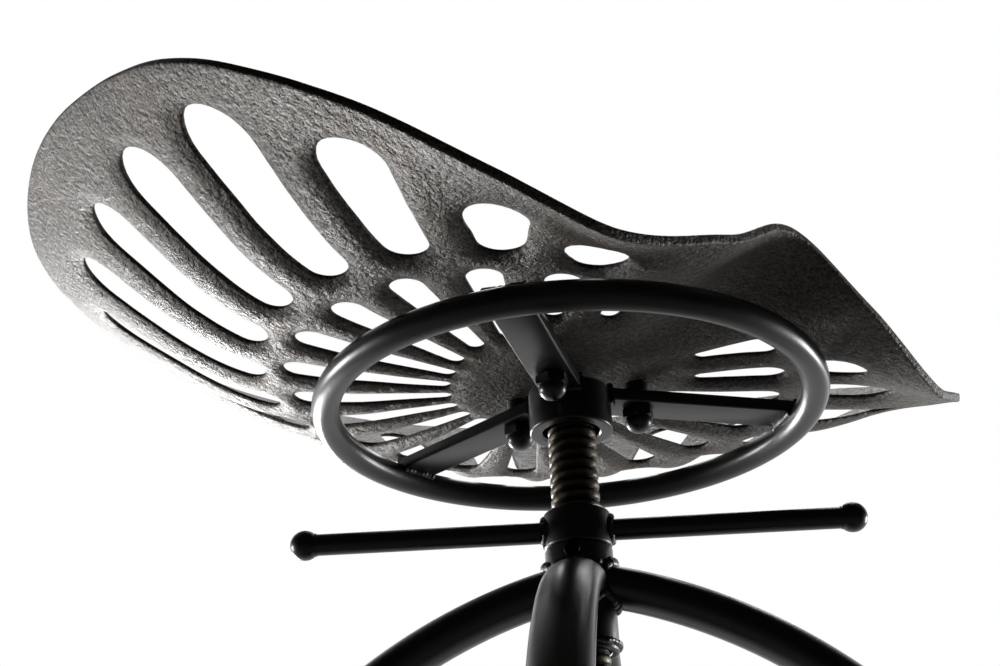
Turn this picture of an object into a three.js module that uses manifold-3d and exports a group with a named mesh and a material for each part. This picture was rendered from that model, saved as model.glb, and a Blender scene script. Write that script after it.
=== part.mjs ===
// Tractor seat stool: a cast iron dish seat that swivels on a lifting screw,
// with a crossbar nut that winds the screw up and down in a four-legged base.
// Millimetres, +Z up, the sitter faces -Y. Heights named "level" are above the floor.
import * as THREE from 'three';
import { mergeVertices } from 'three/addons/utils/BufferGeometryUtils.js';
import Module from 'manifold-3d';

const wasm = await Module();
wasm.setup();

// Fits between pieces
const seatGap = 0.3; // left between two pieces that rest on, or are welded to, each other
const runGap = 0.3; // radial clearance of anything that turns or slides
const overrun = 5; // how far a cutting tool reaches past the piece it cuts
const weldDistance = 0.0001; // mesh corners closer than this are one corner
const halfTurnDeg = 180;
const fullTurnDeg = 360;

// Lifting screw and what holds it
const screwDiameter = 22;
const screwLength = 210;
const journalDiameter = 10;
const keywayWidth = 5;
const keywayDepth = 3;
const keyTurnDeg = -147.5; // where the key screw and the keyway lie round the axis
const sleeveDiameter = 30;
const sleeveLength = 47;
const liftUp = 100; // travel above the height shown
const stopWasherDiameter = 34;
const stopWasherThickness = 3;
const stopBoltHead = 13;
const stopBoltHeadHeight = 5.5;
const stopBoltShank = 8;
const stopBoltLength = 16;
const keyScrewDiameter = 5;
const keyScrewHead = 7;
const keyScrewHeadHeight = 2.4;
const keyScrewDrop = 4.3; // below the top of the sleeve

// Crossbar nut
const nutDiameter = 30;
const nutHeight = 17.5;
const handleRodDiameter = 9.6;
const handleReach = 121.6; // from the axis to the centre of each ball
const handleBallDiameter = 13.8;
const handleSocketDepth = 6;
const handleTurnDeg = -46.7;

// Hub, bars and ring under the seat
const ringLevel = 640; // centre line of the ring, at the height shown
const ringMeanRadius = 112;
const ringRodDiameter = 13;
const hubDiameter = 38;
const hubHeight = 20.6;
const hubBoreDiameter = 26;
const hubBoreDepth = 8.5;
const bushWall = 2.5;
const thrustWasherThickness = 1.2;
const retainerDiameter = 20;
const retainerThickness = 1.5;
const retainerNutAcross = 17;
const retainerNutHeight = 3.6;
const barCount = 3;
const barWidth = 19;
const barThickness = 6;
const barRise = 2.8; // underside of the bars above the centre line of the ring
const firstBarDeg = 90;
const boltCircleRadius = 33;
const boltDiameter = 8;
const boltHeadDiameter = 18;
const boltHeadHeight = 4.5;
const boltHeadShares = [[0.8, 0.6], [0.4, 0.93]]; // [out, up] along the domed head
const spacerDiameter = 11;
const spacerLength = 6.2;
const domeNutAcross = 13;
const domeNutHexHeight = 5.5;
const domeNutDomeDiameter = 12;
const domeNutHeight = 11.5;
const domeNutBoreDepth = 8;

// Cast seat. Angles run from the front of the seat, alike on both sides.
const seatHalfWidth = 237;
const seatThickness = 4.2;
const seatRimRise = 84; // rim above the flat middle, at the back
const seatFlatRadius = 32;
const outlineAnglesDeg = [0, 20, 40, 55, 70, 85, 100, 120, 140, 160, 180];
const outlineReachShares = [
  0.565, 0.612, 0.696, 0.804, 0.943, 1, 1.017, 1.051, 1.097, 1.101, 1.105,
];
const rimRiseShares = [0.21, -0.07, -0.25, -0.06, 0.27, 0.655, 0.87, 1.01, 1.02, 1, 1];
const bowlAnglesDeg = [0, 45, 90, 135, 180];
const bowlBendShares = [0.25, 0.72, 0.63, 0.56, 0.52]; // where the dish turns up, on the way out
const bowlSoftShares = [0.45, 0.28, 0.16, 0.15, 0.15]; // how softly it turns up there
const seatRingShares = [0, 0.18, 0.33, 0.45, 0.54, 0.62, 0.71, 0.85, 1];
const seatSpokes = 48;
const seatProbeShare = 0.002; // how far apart the points are that give the dish's slope
const seatProbeDeg = 0.2;
const slotsPerSide = 10;
const slotCentreBack = 22.6; // the slots point at a place this far behind the axis
const outerSlotFirstDeg = 35;
const outerSlotStart = 135;
const outerSlotStartShares = [0.94, 0.99, 1.015, 1.015, 1, 0.965, 0.935, 0.92, 0.91, 0.91];
const outerSlotEnd = 217;
const outerSlotEndShares = [0.71, 0.8, 0.965, 1.03, 1, 0.98, 0.99, 1, 1, 1];
const outerSlotInnerHalfWidth = 10;
const outerSlotHalfWidth = 16;
const outerSlotWidthShares = [0.81, 0.81, 0.91, 1.03, 1, 0.875, 0.81, 0.78, 0.78, 0.78];
const innerSlotFirstDeg = 22;
const innerSlotStart = 80;
const innerSlotStartShares = [1, 0.95, 0.725, 0.66, 0.59, 0.525, 0.5, 0.49, 0.49, 0.49];
const innerSlotEnd = 124;
const innerSlotEndShares = [0.95, 0.95, 0.98, 1, 0.99, 0.98, 0.96, 0.93, 0.92, 0.92];
const innerSlotInnerHalfWidth = 4;
const innerSlotHalfWidth = 7.8;

// Base: bent oval tube legs, foot ring and feet
const legCount = 4;
const firstLegDeg = -141.4;
const legTubeWide = 24.4;
const legTubeDeep = 18;
const legTubeWall = 2;
const legTopDrop = 14.7; // centre line of a leg below the top of the sleeve, where they meet
const legStartDeg = 10.7; // how steeply a leg leaves the sleeve
const legEndDeg = 82; // how steeply it reaches the floor
const legBendRadius = 236;
const footPad = 3;
const footHeight = 18;
const footWall = 2;
const footRingLevel = 205;
const footRingRodDiameter = 13;

// Facets round the curved pieces
const turnedFacets = 24;
const smallFacets = 14;
const ringFacets = 44;
const rodFacets = 8;
const legFacets = 12;
const legBoreFacets = 6;
const legSteps = 18;
const slotEndFacets = 4;
const domeRows = 3;
const hexagonSides = 6;

// Levels and radii that follow from the sizes
const screwRadius = screwDiameter / 2;
const boreRadius = screwRadius + runGap;
const hubTopLevel = ringLevel + barRise + barThickness;
const hubBottomLevel = hubTopLevel - hubHeight;
const screwTopLevel = hubBottomLevel + hubBoreDepth - thrustWasherThickness - 2 * seatGap;
const seatFloorLevel = hubTopLevel + spacerLength + 2 * seatGap;
const seatTopLevel = seatFloorLevel + seatThickness;
const retainerLevel = hubTopLevel + seatGap;
const retainerNutLevel = retainerLevel + retainerThickness + seatGap;
const journalTopLevel = retainerNutLevel + retainerNutHeight;
const stopWasherTopLevel = screwTopLevel - screwLength - seatGap;
const sleeveBottomLevel = stopWasherTopLevel + liftUp + seatGap;
const sleeveTopLevel = sleeveBottomLevel + sleeveLength;
const nutBottomLevel = sleeveTopLevel + seatGap;
const handleLevel = nutBottomLevel + nutHeight / 2;
const keyLevel = sleeveTopLevel - keyScrewDrop;
const legTopLevel = sleeveTopLevel - legTopDrop;

const degrees = (value) => THREE.MathUtils.degToRad(value);

// Finishes
const paintedBlack = () =>
  new THREE.MeshStandardMaterial({ color: 0x16161a, roughness: 0.32, metalness: 0.1 });
const castIron = () =>
  new THREE.MeshStandardMaterial({ color: 0x4a453e, roughness: 0.72, metalness: 0.6 });
const oiledSteel = () =>
  new THREE.MeshStandardMaterial({ color: 0x6f665b, roughness: 0.38, metalness: 1 });
const bushBronze = () =>
  new THREE.MeshStandardMaterial({ color: 0x8c6a3a, roughness: 0.4, metalness: 1 });
const footRubber = () =>
  new THREE.MeshStandardMaterial({ color: 0x111111, roughness: 0.85, metalness: 0 });

// Solids and meshes
function toSolid(geometry) {
  const bare = geometry.clone();
  bare.deleteAttribute('normal');
  bare.deleteAttribute('uv');
  const merged = mergeVertices(bare, weldDistance);
  return new wasm.Manifold(
    new wasm.Mesh({
      numProp: 3,
      vertProperties: new Float32Array(merged.attributes.position.array),
      triVerts: new Uint32Array(merged.index.array),
    }),
  );
}

function toGeometry(solid) {
  const mesh = solid.getMesh();
  const geometry = new THREE.BufferGeometry();
  geometry.setAttribute('position', new THREE.BufferAttribute(mesh.vertProperties, 3));
  geometry.setIndex(new THREE.BufferAttribute(mesh.triVerts, 1));
  return geometry;
}

function cut(body, ...tools) {
  const left = tools.reduce((solid, tool) => solid.subtract(toSolid(tool)), toSolid(body));
  return toGeometry(left);
}

function named(name, geometry, material) {
  const mesh = new THREE.Mesh(geometry, material);
  mesh.name = name;
  return mesh;
}

// Shapes that more than one piece uses
function upright(bottom, height, radius, facets = turnedFacets) {
  const geometry = new THREE.CylinderGeometry(radius, radius, height, facets);
  return geometry.rotateX(degrees(halfTurnDeg / 2)).translate(0, 0, bottom + height / 2);
}

// A turned piece from [radius, level] points that close on themselves or start and end on the axis.
function turned(points, facets = turnedFacets) {
  const profile = points.map(([radius, level]) => new THREE.Vector2(radius, level));
  return new THREE.LatheGeometry(profile, facets).rotateX(degrees(halfTurnDeg / 2));
}

function turnedRing(innerRadius, outerRadius, bottom, top, facets = turnedFacets) {
  return turned(
    [
      [innerRadius, bottom],
      [outerRadius, bottom],
      [outerRadius, top],
      [innerRadius, top],
      [innerRadius, bottom],
    ],
    facets,
  );
}

function hexagon(across, bottom, height) {
  const corner = across / Math.sqrt(3);
  return upright(bottom, height, corner, hexagonSides);
}

// A round bar along +X from one distance to another, at a level
function radialBar(diameter, from, to, level, facets = smallFacets) {
  const geometry = new THREE.CylinderGeometry(diameter / 2, diameter / 2, to - from, facets);
  return geometry.rotateZ(degrees(halfTurnDeg / 2)).translate((from + to) / 2, 0, level);
}

function hoop(meanRadius, rodDiameter, level) {
  const geometry = new THREE.TorusGeometry(meanRadius, rodDiameter / 2, rodFacets, ringFacets);
  return geometry.translate(0, 0, level);
}

function turnedTo(angleDeg, ...meshes) {
  const group = new THREE.Group();
  group.rotation.z = degrees(angleDeg);
  group.add(...meshes);
  return group;
}

// Base
class LegLine extends THREE.Curve {
  constructor(top, bottomLevel) {
    super();
    this.top = top;
    this.start = degrees(legStartDeg);
    this.end = degrees(legEndDeg);
    this.bendLength = legBendRadius * (this.end - this.start);
    const bendDrop = legBendRadius * (Math.cos(this.start) - Math.cos(this.end));
    this.straightLength = (top.y - bendDrop - bottomLevel) / Math.sin(this.end);
  }

  getPoint(share, target = new THREE.Vector3()) {
    const length = share * (this.bendLength + this.straightLength);
    const bent = Math.min(length, this.bendLength);
    const slope = this.start + bent / legBendRadius;
    const straight = length - bent;
    const out = legBendRadius * (Math.sin(slope) - Math.sin(this.start));
    const drop = legBendRadius * (Math.cos(this.start) - Math.cos(slope));
    return target.set(
      this.top.x + out + straight * Math.cos(this.end),
      0,
      this.top.y - drop - straight * Math.sin(this.end),
    );
  }
}

function ovalShape(wide, deep, facets) {
  const shape = new THREE.Path();
  for (let index = 0; index < facets; index += 1) {
    const angle = degrees((index * fullTurnDeg) / facets);
    const place = [(wide / 2) * Math.cos(angle), (deep / 2) * Math.sin(angle)];
    if (index === 0) shape.moveTo(...place);
    else shape.lineTo(...place);
  }
  shape.closePath();
  return shape;
}

// The leg's tube, or a solid of its outline grown by a margin
function legSweep(margin, hollow, bottomLevel) {
  const grown = ovalShape(legTubeWide + 2 * margin, legTubeDeep + 2 * margin, legFacets);
  const outline = new THREE.Shape(grown.getPoints());
  if (hollow) {
    const wide = legTubeWide - 2 * legTubeWall;
    const deep = legTubeDeep - 2 * legTubeWall;
    outline.holes.push(ovalShape(wide, deep, legBoreFacets));
  }
  const line = new LegLine(new THREE.Vector2(0, legTopLevel), bottomLevel);
  return new THREE.ExtrudeGeometry(outline, {
    steps: legSteps,
    bevelEnabled: false,
    extrudePath: line,
  });
}

function slab(bottom, top) {
  const size = 2 * (legBendRadius + seatHalfWidth);
  const geometry = new THREE.BoxGeometry(size, size, top - bottom);
  return geometry.translate(0, 0, (bottom + top) / 2);
}

// A square column with its corner at the axis, open towards +X: the room that one leg may fill
function legSector() {
  const size = 2 * (legBendRadius + seatHalfWidth);
  const geometry = new THREE.BoxGeometry(size, size, 2 * ringLevel);
  geometry.rotateZ(degrees(fullTurnDeg / legCount / 2));
  return geometry.translate(size / Math.SQRT2 + seatGap, 0, 0);
}

function makeLeg(index) {
  const sleeveRoom = upright(
    sleeveBottomLevel - legTubeDeep - overrun,
    sleeveLength + 2 * (legTubeDeep + overrun),
    sleeveDiameter / 2 + seatGap,
  );
  const footRoom = slab(-footHeight - overrun, footPad + seatGap);
  const tube = toSolid(legSweep(0, true, -footHeight)).intersect(toSolid(legSector()));
  const leg = cut(toGeometry(tube), sleeveRoom, footRoom);
  return named(`leg_${index + 1}`, leg, paintedBlack());
}

function makeFoot(index) {
  const block = toSolid(legSweep(footWall + seatGap, false, -footHeight));
  const kept = block.intersect(toSolid(slab(0, footHeight)));
  const socket = toSolid(legSweep(seatGap, false, -footHeight)).intersect(
    toSolid(slab(footPad, footHeight + overrun)),
  );
  return named(`foot_${index + 1}`, toGeometry(kept.subtract(socket)), footRubber());
}

// Distance from the axis to a leg's centre line at a level
function legReachAt(level) {
  const line = new LegLine(new THREE.Vector2(0, legTopLevel), 0);
  const foot = line.getPoint(1);
  return foot.x - level / Math.tan(degrees(legEndDeg));
}

// A hoop inside the four legs, with a corner of its facets at each leg
function makeFootRing() {
  const reach = (legTubeDeep + footRingRodDiameter) / 2 + seatGap;
  const meanRadius = legReachAt(footRingLevel) - reach / Math.sin(degrees(legEndDeg));
  const ring = hoop(meanRadius, footRingRodDiameter, footRingLevel);
  return named('foot_ring', ring.rotateZ(degrees(firstLegDeg)), paintedBlack());
}

function makeSleeve() {
  const tube = turnedRing(boreRadius, sleeveDiameter / 2, sleeveBottomLevel, sleeveTopLevel);
  const keyHole = radialBar(keyScrewDiameter + 2 * runGap, 0, sleeveDiameter, keyLevel);
  keyHole.rotateZ(degrees(keyTurnDeg));
  return named('base_sleeve', cut(tube, keyHole), paintedBlack());
}

function makeKeyScrew() {
  const tip = screwRadius - keywayDepth + runGap;
  const face = sleeveDiameter / 2 + seatGap;
  const shank = toSolid(radialBar(keyScrewDiameter - 2 * runGap, tip, face + seatGap, keyLevel));
  const head = toSolid(radialBar(keyScrewHead, face, face + keyScrewHeadHeight, keyLevel));
  return named('key_screw', toGeometry(shank.add(head)), oiledSteel());
}

function makeBase() {
  const base = new THREE.Group();
  base.add(makeSleeve(), makeFootRing(), turnedTo(keyTurnDeg, makeKeyScrew()));
  for (let index = 0; index < legCount; index += 1) {
    const angle = firstLegDeg + (index * fullTurnDeg) / legCount;
    base.add(turnedTo(angle, makeLeg(index), makeFoot(index)));
  }
  return base;
}

// Crossbar nut
function makeHandle() {
  const nut = turnedRing(boreRadius, nutDiameter / 2, nutBottomLevel, nutBottomLevel + nutHeight);
  const group = turnedTo(handleTurnDeg, named('handle_nut', nut, paintedBlack()));
  const socketEnd = handleReach - handleBallDiameter / 2 + handleSocketDepth;
  for (const [side, turn] of [['right', 0], ['left', halfTurnDeg]]) {
    const nutRoom = upright(
      nutBottomLevel - overrun,
      nutHeight + 2 * overrun,
      nutDiameter / 2 + seatGap,
    );
    const rod = cut(radialBar(handleRodDiameter, 0, socketEnd - seatGap, handleLevel), nutRoom);
    const ball = new THREE.SphereGeometry(handleBallDiameter / 2, smallFacets, rodFacets);
    ball.translate(handleReach, 0, handleLevel);
    const socket = radialBar(handleRodDiameter + 2 * seatGap, 0, socketEnd, handleLevel);
    const ballMesh = named(`handle_ball_${side}`, cut(ball, socket), paintedBlack());
    group.add(turnedTo(turn, named(`handle_rod_${side}`, rod, paintedBlack()), ballMesh));
  }
  return group;
}

// Lifting screw
function makeScrew() {
  const bottom = screwTopLevel - screwLength;
  const chamfer = keywayDepth / 2;
  const body = turned([
    [0, bottom],
    [screwRadius - chamfer, bottom],
    [screwRadius, bottom + chamfer],
    [screwRadius, screwTopLevel],
    [journalDiameter / 2, screwTopLevel],
    [journalDiameter / 2, journalTopLevel],
    [0, journalTopLevel],
  ]);
  const keyway = new THREE.BoxGeometry(keywayDepth + overrun, keywayWidth, screwLength);
  keyway.translate(screwRadius - keywayDepth + (keywayDepth + overrun) / 2, 0, 0);
  keyway.translate(0, 0, bottom + screwLength / 2 - (screwTopLevel - hubBottomLevel));
  keyway.rotateZ(degrees(keyTurnDeg));
  const tapped = upright(
    bottom - overrun,
    stopBoltLength + overrun + seatGap,
    stopBoltShank / 2 + seatGap,
  );
  return named('lift_screw', cut(body, keyway, tapped), oiledSteel());
}

function makeStop() {
  const bottom = stopWasherTopLevel - stopWasherThickness;
  const washer = turnedRing(
    stopBoltShank / 2 + seatGap,
    stopWasherDiameter / 2,
    bottom,
    stopWasherTopLevel,
  );
  const headTop = bottom - seatGap;
  const head = toSolid(hexagon(stopBoltHead, headTop - stopBoltHeadHeight, stopBoltHeadHeight));
  const shank = toSolid(
    upright(headTop - seatGap, stopBoltLength, stopBoltShank / 2, smallFacets),
  );
  return [
    named('stop_washer', washer, oiledSteel()),
    named('stop_bolt', toGeometry(head.add(shank)), oiledSteel()),
  ];
}

function makeRetainer() {
  const hole = journalDiameter / 2 + seatGap;
  const washerTop = retainerLevel + retainerThickness;
  const washer = turnedRing(hole, retainerDiameter / 2, retainerLevel, washerTop);
  const nut = cut(
    hexagon(retainerNutAcross, retainerNutLevel, retainerNutHeight),
    upright(retainerNutLevel - overrun, retainerNutHeight + 2 * overrun, hole, smallFacets),
  );
  const thrustBottom = screwTopLevel + seatGap;
  const thrust = turnedRing(
    hole,
    screwRadius - seatGap,
    thrustBottom,
    thrustBottom + thrustWasherThickness,
  );
  return [
    named('thrust_washer', thrust, bushBronze()),
    named('retainer_washer', washer, oiledSteel()),
    named('retainer_nut', nut, oiledSteel()),
  ];
}

// Hub, bars and ring
function makeHub() {
  const bushRadius = journalDiameter / 2 + runGap + bushWall;
  const shoulder = hubBottomLevel + hubBoreDepth;
  const hub = turned([
    [hubBoreDiameter / 2, hubBottomLevel],
    [hubDiameter / 2, hubBottomLevel],
    [hubDiameter / 2, hubTopLevel],
    [bushRadius + seatGap, hubTopLevel],
    [bushRadius + seatGap, shoulder],
    [hubBoreDiameter / 2, shoulder],
    [hubBoreDiameter / 2, hubBottomLevel],
  ]);
  const bush = turnedRing(journalDiameter / 2 + runGap, bushRadius, shoulder, hubTopLevel);
  return [named('seat_hub', hub, paintedBlack()), named('hub_bush', bush, bushBronze())];
}

function makeBar(index) {
  const inner = hubDiameter / 2 + seatGap;
  const outer = ringMeanRadius - ringRodDiameter / 2 - seatGap;
  const length = outer - inner;
  const bar = new THREE.BoxGeometry(length, barWidth, barThickness);
  bar.translate(inner + length / 2, 0, hubTopLevel - barThickness / 2);
  const hubRoom = upright(hubBottomLevel, hubHeight + overrun, hubDiameter / 2 + seatGap);
  const boltHole = upright(
    hubTopLevel - barThickness - overrun,
    barThickness + 2 * overrun,
    boltDiameter / 2 + seatGap,
    smallFacets,
  );
  boltHole.translate(boltCircleRadius, 0, 0);
  return named(`seat_bar_${index + 1}`, cut(bar, hubRoom, boltHole), paintedBlack());
}

function makeSpacer(index) {
  const bottom = hubTopLevel + seatGap;
  const hole = boltDiameter / 2 + seatGap;
  const ring = turnedRing(hole, spacerDiameter / 2, bottom, bottom + spacerLength, smallFacets);
  ring.translate(boltCircleRadius, 0, 0);
  return named(`seat_spacer_${index + 1}`, ring, paintedBlack());
}

function makeSeatBolt(index) {
  const radius = boltDiameter / 2;
  const headRadius = boltHeadDiameter / 2;
  const headBottom = seatTopLevel + seatGap;
  const hexTop = hubTopLevel - barThickness - seatGap;
  const bolt = turned(
    [
      [0, hexTop - domeNutBoreDepth + seatGap],
      [radius, hexTop - domeNutBoreDepth + seatGap],
      [radius, headBottom],
      [headRadius, headBottom],
      ...boltHeadShares.map(([out, up]) => [headRadius * out, headBottom + boltHeadHeight * up]),
      [0, headBottom + boltHeadHeight],
    ],
    smallFacets,
  );
  bolt.translate(boltCircleRadius, 0, 0);
  return named(`seat_bolt_${index + 1}`, bolt, oiledSteel());
}

function makeDomeNut(index) {
  const top = hubTopLevel - barThickness - seatGap;
  const hexBottom = top - domeNutHexHeight;
  const domeRadius = domeNutDomeDiameter / 2;
  const tip = top - domeNutHeight;
  const dome = [[0, hexBottom + seatGap], [0, tip]];
  for (let row = 1; row <= domeRows; row += 1) {
    const angle = degrees((row * halfTurnDeg) / 2 / domeRows);
    const drop = (hexBottom - tip) * (1 - Math.cos(angle));
    dome.push([domeRadius * Math.sin(angle), tip + drop]);
  }
  dome.push([domeRadius, hexBottom + seatGap]);
  dome.push([0, hexBottom + seatGap]);
  const hex = toSolid(hexagon(domeNutAcross, hexBottom, domeNutHexHeight));
  const bore = toSolid(
    upright(
      top - domeNutBoreDepth,
      domeNutBoreDepth + overrun,
      boltDiameter / 2 + seatGap,
      smallFacets,
    ),
  );
  const nut = toGeometry(hex.add(toSolid(turned(dome, smallFacets))).subtract(bore));
  nut.translate(boltCircleRadius, 0, 0);
  return named(`dome_nut_${index + 1}`, nut, paintedBlack());
}

// Cast seat
// Smooth curve through values at rising angles, level at both ends
function curveThrough(anglesDeg, values, angleDeg) {
  const last = anglesDeg.length - 1;
  const slope = (at) => {
    if (at === 0 || at === last) return 0;
    return (values[at + 1] - values[at - 1]) / (anglesDeg[at + 1] - anglesDeg[at - 1]);
  };
  const from = Math.min(last - 1, anglesDeg.findLastIndex((angle) => angle <= angleDeg));
  const span = anglesDeg[from + 1] - anglesDeg[from];
  const share = (angleDeg - anglesDeg[from]) / span;
  const squared = share * share;
  const cubed = squared * share;
  return (
    values[from] * (2 * cubed - 3 * squared + 1) +
    values[from + 1] * (3 * squared - 2 * cubed) +
    slope(from) * span * (cubed - 2 * squared + share) +
    slope(from + 1) * span * (cubed - squared)
  );
}

// Plan distance from the axis to the seat's outline, for an angle from the front
function outlineReach(angleDeg) {
  return seatHalfWidth * curveThrough(outlineAnglesDeg, outlineReachShares, angleDeg);
}

// Share of the rim's rise at a share of the way out: level, then a soft bend, then straight
function bowlRiseShare(angleDeg, share) {
  const bend = curveThrough(bowlAnglesDeg, bowlBendShares, angleDeg);
  const soft = curveThrough(bowlAnglesDeg, bowlSoftShares, angleDeg);
  const past = (at) => at - bend + Math.hypot(at - bend, soft);
  return (past(share) - past(0)) / (past(1) - past(0));
}

// Point of the seat's underside, at a turn from its front and a share of the way to the rim
function undersidePoint(turnDeg, share) {
  const wrapped = THREE.MathUtils.euclideanModulo(turnDeg + halfTurnDeg, fullTurnDeg);
  const angle = Math.abs(wrapped - halfTurnDeg);
  const reach = seatFlatRadius + (outlineReach(angle) - seatFlatRadius) * share;
  const rise = seatRimRise * curveThrough(outlineAnglesDeg, rimRiseShares, angle);
  return new THREE.Vector3(
    reach * Math.sin(degrees(turnDeg)),
    -reach * Math.cos(degrees(turnDeg)),
    seatFloorLevel + rise * bowlRiseShare(angle, share),
  );
}

// The same point lifted towards the sitter, square to the underside
function seatPoint(turnDeg, share, lift) {
  const place = undersidePoint(turnDeg, share);
  const outward = undersidePoint(turnDeg, share + seatProbeShare).sub(place);
  const around = undersidePoint(turnDeg + seatProbeDeg, share);
  around.sub(undersidePoint(turnDeg - seatProbeDeg, share));
  return place.addScaledVector(outward.cross(around).normalize(), lift).toArray();
}

function seatShell() {
  const places = [];
  const faces = [];
  for (const lift of [0, seatThickness]) {
    for (const share of seatRingShares) {
      for (let spoke = 0; spoke < seatSpokes; spoke += 1) {
        places.push(...seatPoint((spoke * fullTurnDeg) / seatSpokes, share, lift));
      }
    }
    places.push(0, 0, seatFloorLevel + lift);
  }
  const rows = seatRingShares.length;
  const layer = rows * seatSpokes + 1;
  const at = (side, row, spoke) => side * layer + row * seatSpokes + (spoke % seatSpokes);
  const face = (flip, a, b, c) => faces.push(...(flip ? [a, c, b] : [a, b, c]));
  for (let spoke = 0; spoke < seatSpokes; spoke += 1) {
    for (const side of [0, 1]) {
      const flip = side === 0;
      face(flip, side * layer + layer - 1, at(side, 0, spoke), at(side, 0, spoke + 1));
      for (let row = 0; row + 1 < rows; row += 1) {
        face(flip, at(side, row, spoke), at(side, row + 1, spoke), at(side, row + 1, spoke + 1));
        face(flip, at(side, row, spoke), at(side, row + 1, spoke + 1), at(side, row, spoke + 1));
      }
    }
    const rim = rows - 1;
    face(false, at(0, rim, spoke), at(0, rim, spoke + 1), at(1, rim, spoke + 1));
    face(false, at(0, rim, spoke), at(1, rim, spoke + 1), at(1, rim, spoke));
  }
  const shell = new THREE.BufferGeometry();
  shell.setAttribute('position', new THREE.Float32BufferAttribute(places, 3));
  shell.setIndex(faces);
  return shell;
}

// A tapering slot with round ends, cut straight down, pointing out from the axis
function slotTool(start, end, startHalf, endHalf) {
  const from = start + startHalf;
  const to = end - endHalf;
  const lean = Math.asin((endHalf - startHalf) / Math.max(to - from, endHalf));
  const points = [];
  const arc = (centre, radius, first, last) => {
    for (let step = 0; step <= slotEndFacets; step += 1) {
      const angle = first + ((last - first) * step) / slotEndFacets;
      points.push(new THREE.Vector2(centre + radius * Math.cos(angle), radius * Math.sin(angle)));
    }
  };
  const quarter = degrees(halfTurnDeg / 2);
  arc(to, endHalf, -quarter - lean, quarter + lean);
  arc(from, startHalf, quarter + lean, 3 * quarter - lean);
  const shape = new THREE.Shape(points);
  const bottom = seatFloorLevel - seatRimRise;
  const depth = 3 * seatRimRise;
  const tool = new THREE.ExtrudeGeometry(shape, { depth, bevelEnabled: false, curveSegments: 1 });
  return tool.translate(0, 0, bottom);
}

// Two rings of slots that point at one place behind the axis
function seatSlots() {
  const tools = [];
  const place = (tool, firstDeg, index) => {
    const angleDeg = firstDeg + (index * (halfTurnDeg - firstDeg)) / (slotsPerSide - 1 / 2);
    for (const side of [-1, 1]) {
      const placed = tool.clone().rotateZ(degrees(side * angleDeg - halfTurnDeg / 2));
      tools.push(placed.translate(0, slotCentreBack, 0));
    }
  };
  for (let index = 0; index < slotsPerSide; index += 1) {
    const outer = slotTool(
      outerSlotStart * outerSlotStartShares[index],
      outerSlotEnd * outerSlotEndShares[index],
      outerSlotInnerHalfWidth,
      outerSlotHalfWidth * outerSlotWidthShares[index],
    );
    place(outer, outerSlotFirstDeg, index);
    const inner = slotTool(
      innerSlotStart * innerSlotStartShares[index],
      innerSlotEnd * innerSlotEndShares[index],
      innerSlotInnerHalfWidth,
      innerSlotHalfWidth,
    );
    place(inner, innerSlotFirstDeg, index);
  }
  return tools;
}

function makeSeat() {
  const holes = [];
  for (let index = 0; index < barCount; index += 1) {
    const hole = upright(
      seatFloorLevel - overrun,
      seatThickness + 2 * overrun,
      boltDiameter / 2 + seatGap,
      smallFacets,
    );
    hole.translate(boltCircleRadius, 0, 0);
    hole.rotateZ(degrees(firstBarDeg + (index * fullTurnDeg) / barCount));
    holes.push(hole);
  }
  return named('seat', cut(seatShell(), ...seatSlots(), ...holes), castIron());
}

function makeSeatAssembly() {
  const group = new THREE.Group();
  const ring = hoop(ringMeanRadius, ringRodDiameter, ringLevel);
  group.add(makeSeat(), named('seat_ring', ring, paintedBlack()), ...makeHub());
  for (let index = 0; index < barCount; index += 1) {
    const angle = firstBarDeg + (index * fullTurnDeg) / barCount;
    const pieces = [makeBar, makeSpacer, makeSeatBolt, makeDomeNut].map((make) => make(index));
    group.add(turnedTo(angle, ...pieces));
  }
  return group;
}

const stool = new THREE.Group();
stool.add(makeBase(), makeHandle());
stool.add(makeScrew(), ...makeStop(), ...makeRetainer());
stool.add(makeSeatAssembly());

// The seat reaches further back than the foot ring reaches forward: the origin is under the middle.
const everyCorner = true;
const extent = new THREE.Box3().setFromObject(stool, everyCorner);
stool.position.y = -(extent.min.y + extent.max.y) / 2;

export default stool;
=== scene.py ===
"""Dresses a stool with a cast iron tractor seat, and lights it as in a bright studio seen from below.

Lengths are in metres, and MM turns the millimetres of a workshop drawing into them. The sitter faces
-Y, the lifting screw stands upright, and every piece is made where it belongs, round its own axis.
"""

import logging
import math
from dataclasses import dataclass, field
from enum import Enum, IntEnum
from typing import Callable, NamedTuple, Sequence

import bmesh
import bpy
import numpy as np
from mathutils import Matrix, Vector, geometry, noise


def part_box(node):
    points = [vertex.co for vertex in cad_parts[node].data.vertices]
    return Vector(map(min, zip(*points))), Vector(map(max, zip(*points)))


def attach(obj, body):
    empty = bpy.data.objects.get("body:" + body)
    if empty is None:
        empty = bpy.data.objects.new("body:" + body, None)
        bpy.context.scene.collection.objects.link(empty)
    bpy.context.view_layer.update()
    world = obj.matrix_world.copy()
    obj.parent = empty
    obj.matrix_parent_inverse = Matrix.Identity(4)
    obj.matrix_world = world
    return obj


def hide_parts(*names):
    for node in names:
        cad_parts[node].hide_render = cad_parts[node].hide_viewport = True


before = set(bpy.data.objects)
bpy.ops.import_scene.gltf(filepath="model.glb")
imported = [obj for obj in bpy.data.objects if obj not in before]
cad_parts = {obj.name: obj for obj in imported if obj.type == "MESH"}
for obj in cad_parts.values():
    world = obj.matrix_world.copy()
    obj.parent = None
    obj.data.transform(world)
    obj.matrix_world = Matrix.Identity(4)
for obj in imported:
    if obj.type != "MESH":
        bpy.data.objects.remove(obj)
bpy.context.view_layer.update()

MM = 0.001
FULL_TURN = 2 * math.pi
QUARTER_TURN = math.pi / 2
LOG = logging.getLogger("stool")

# Edges that bend by more degrees than this are sharp.
SHARP_BEND = 35
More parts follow.
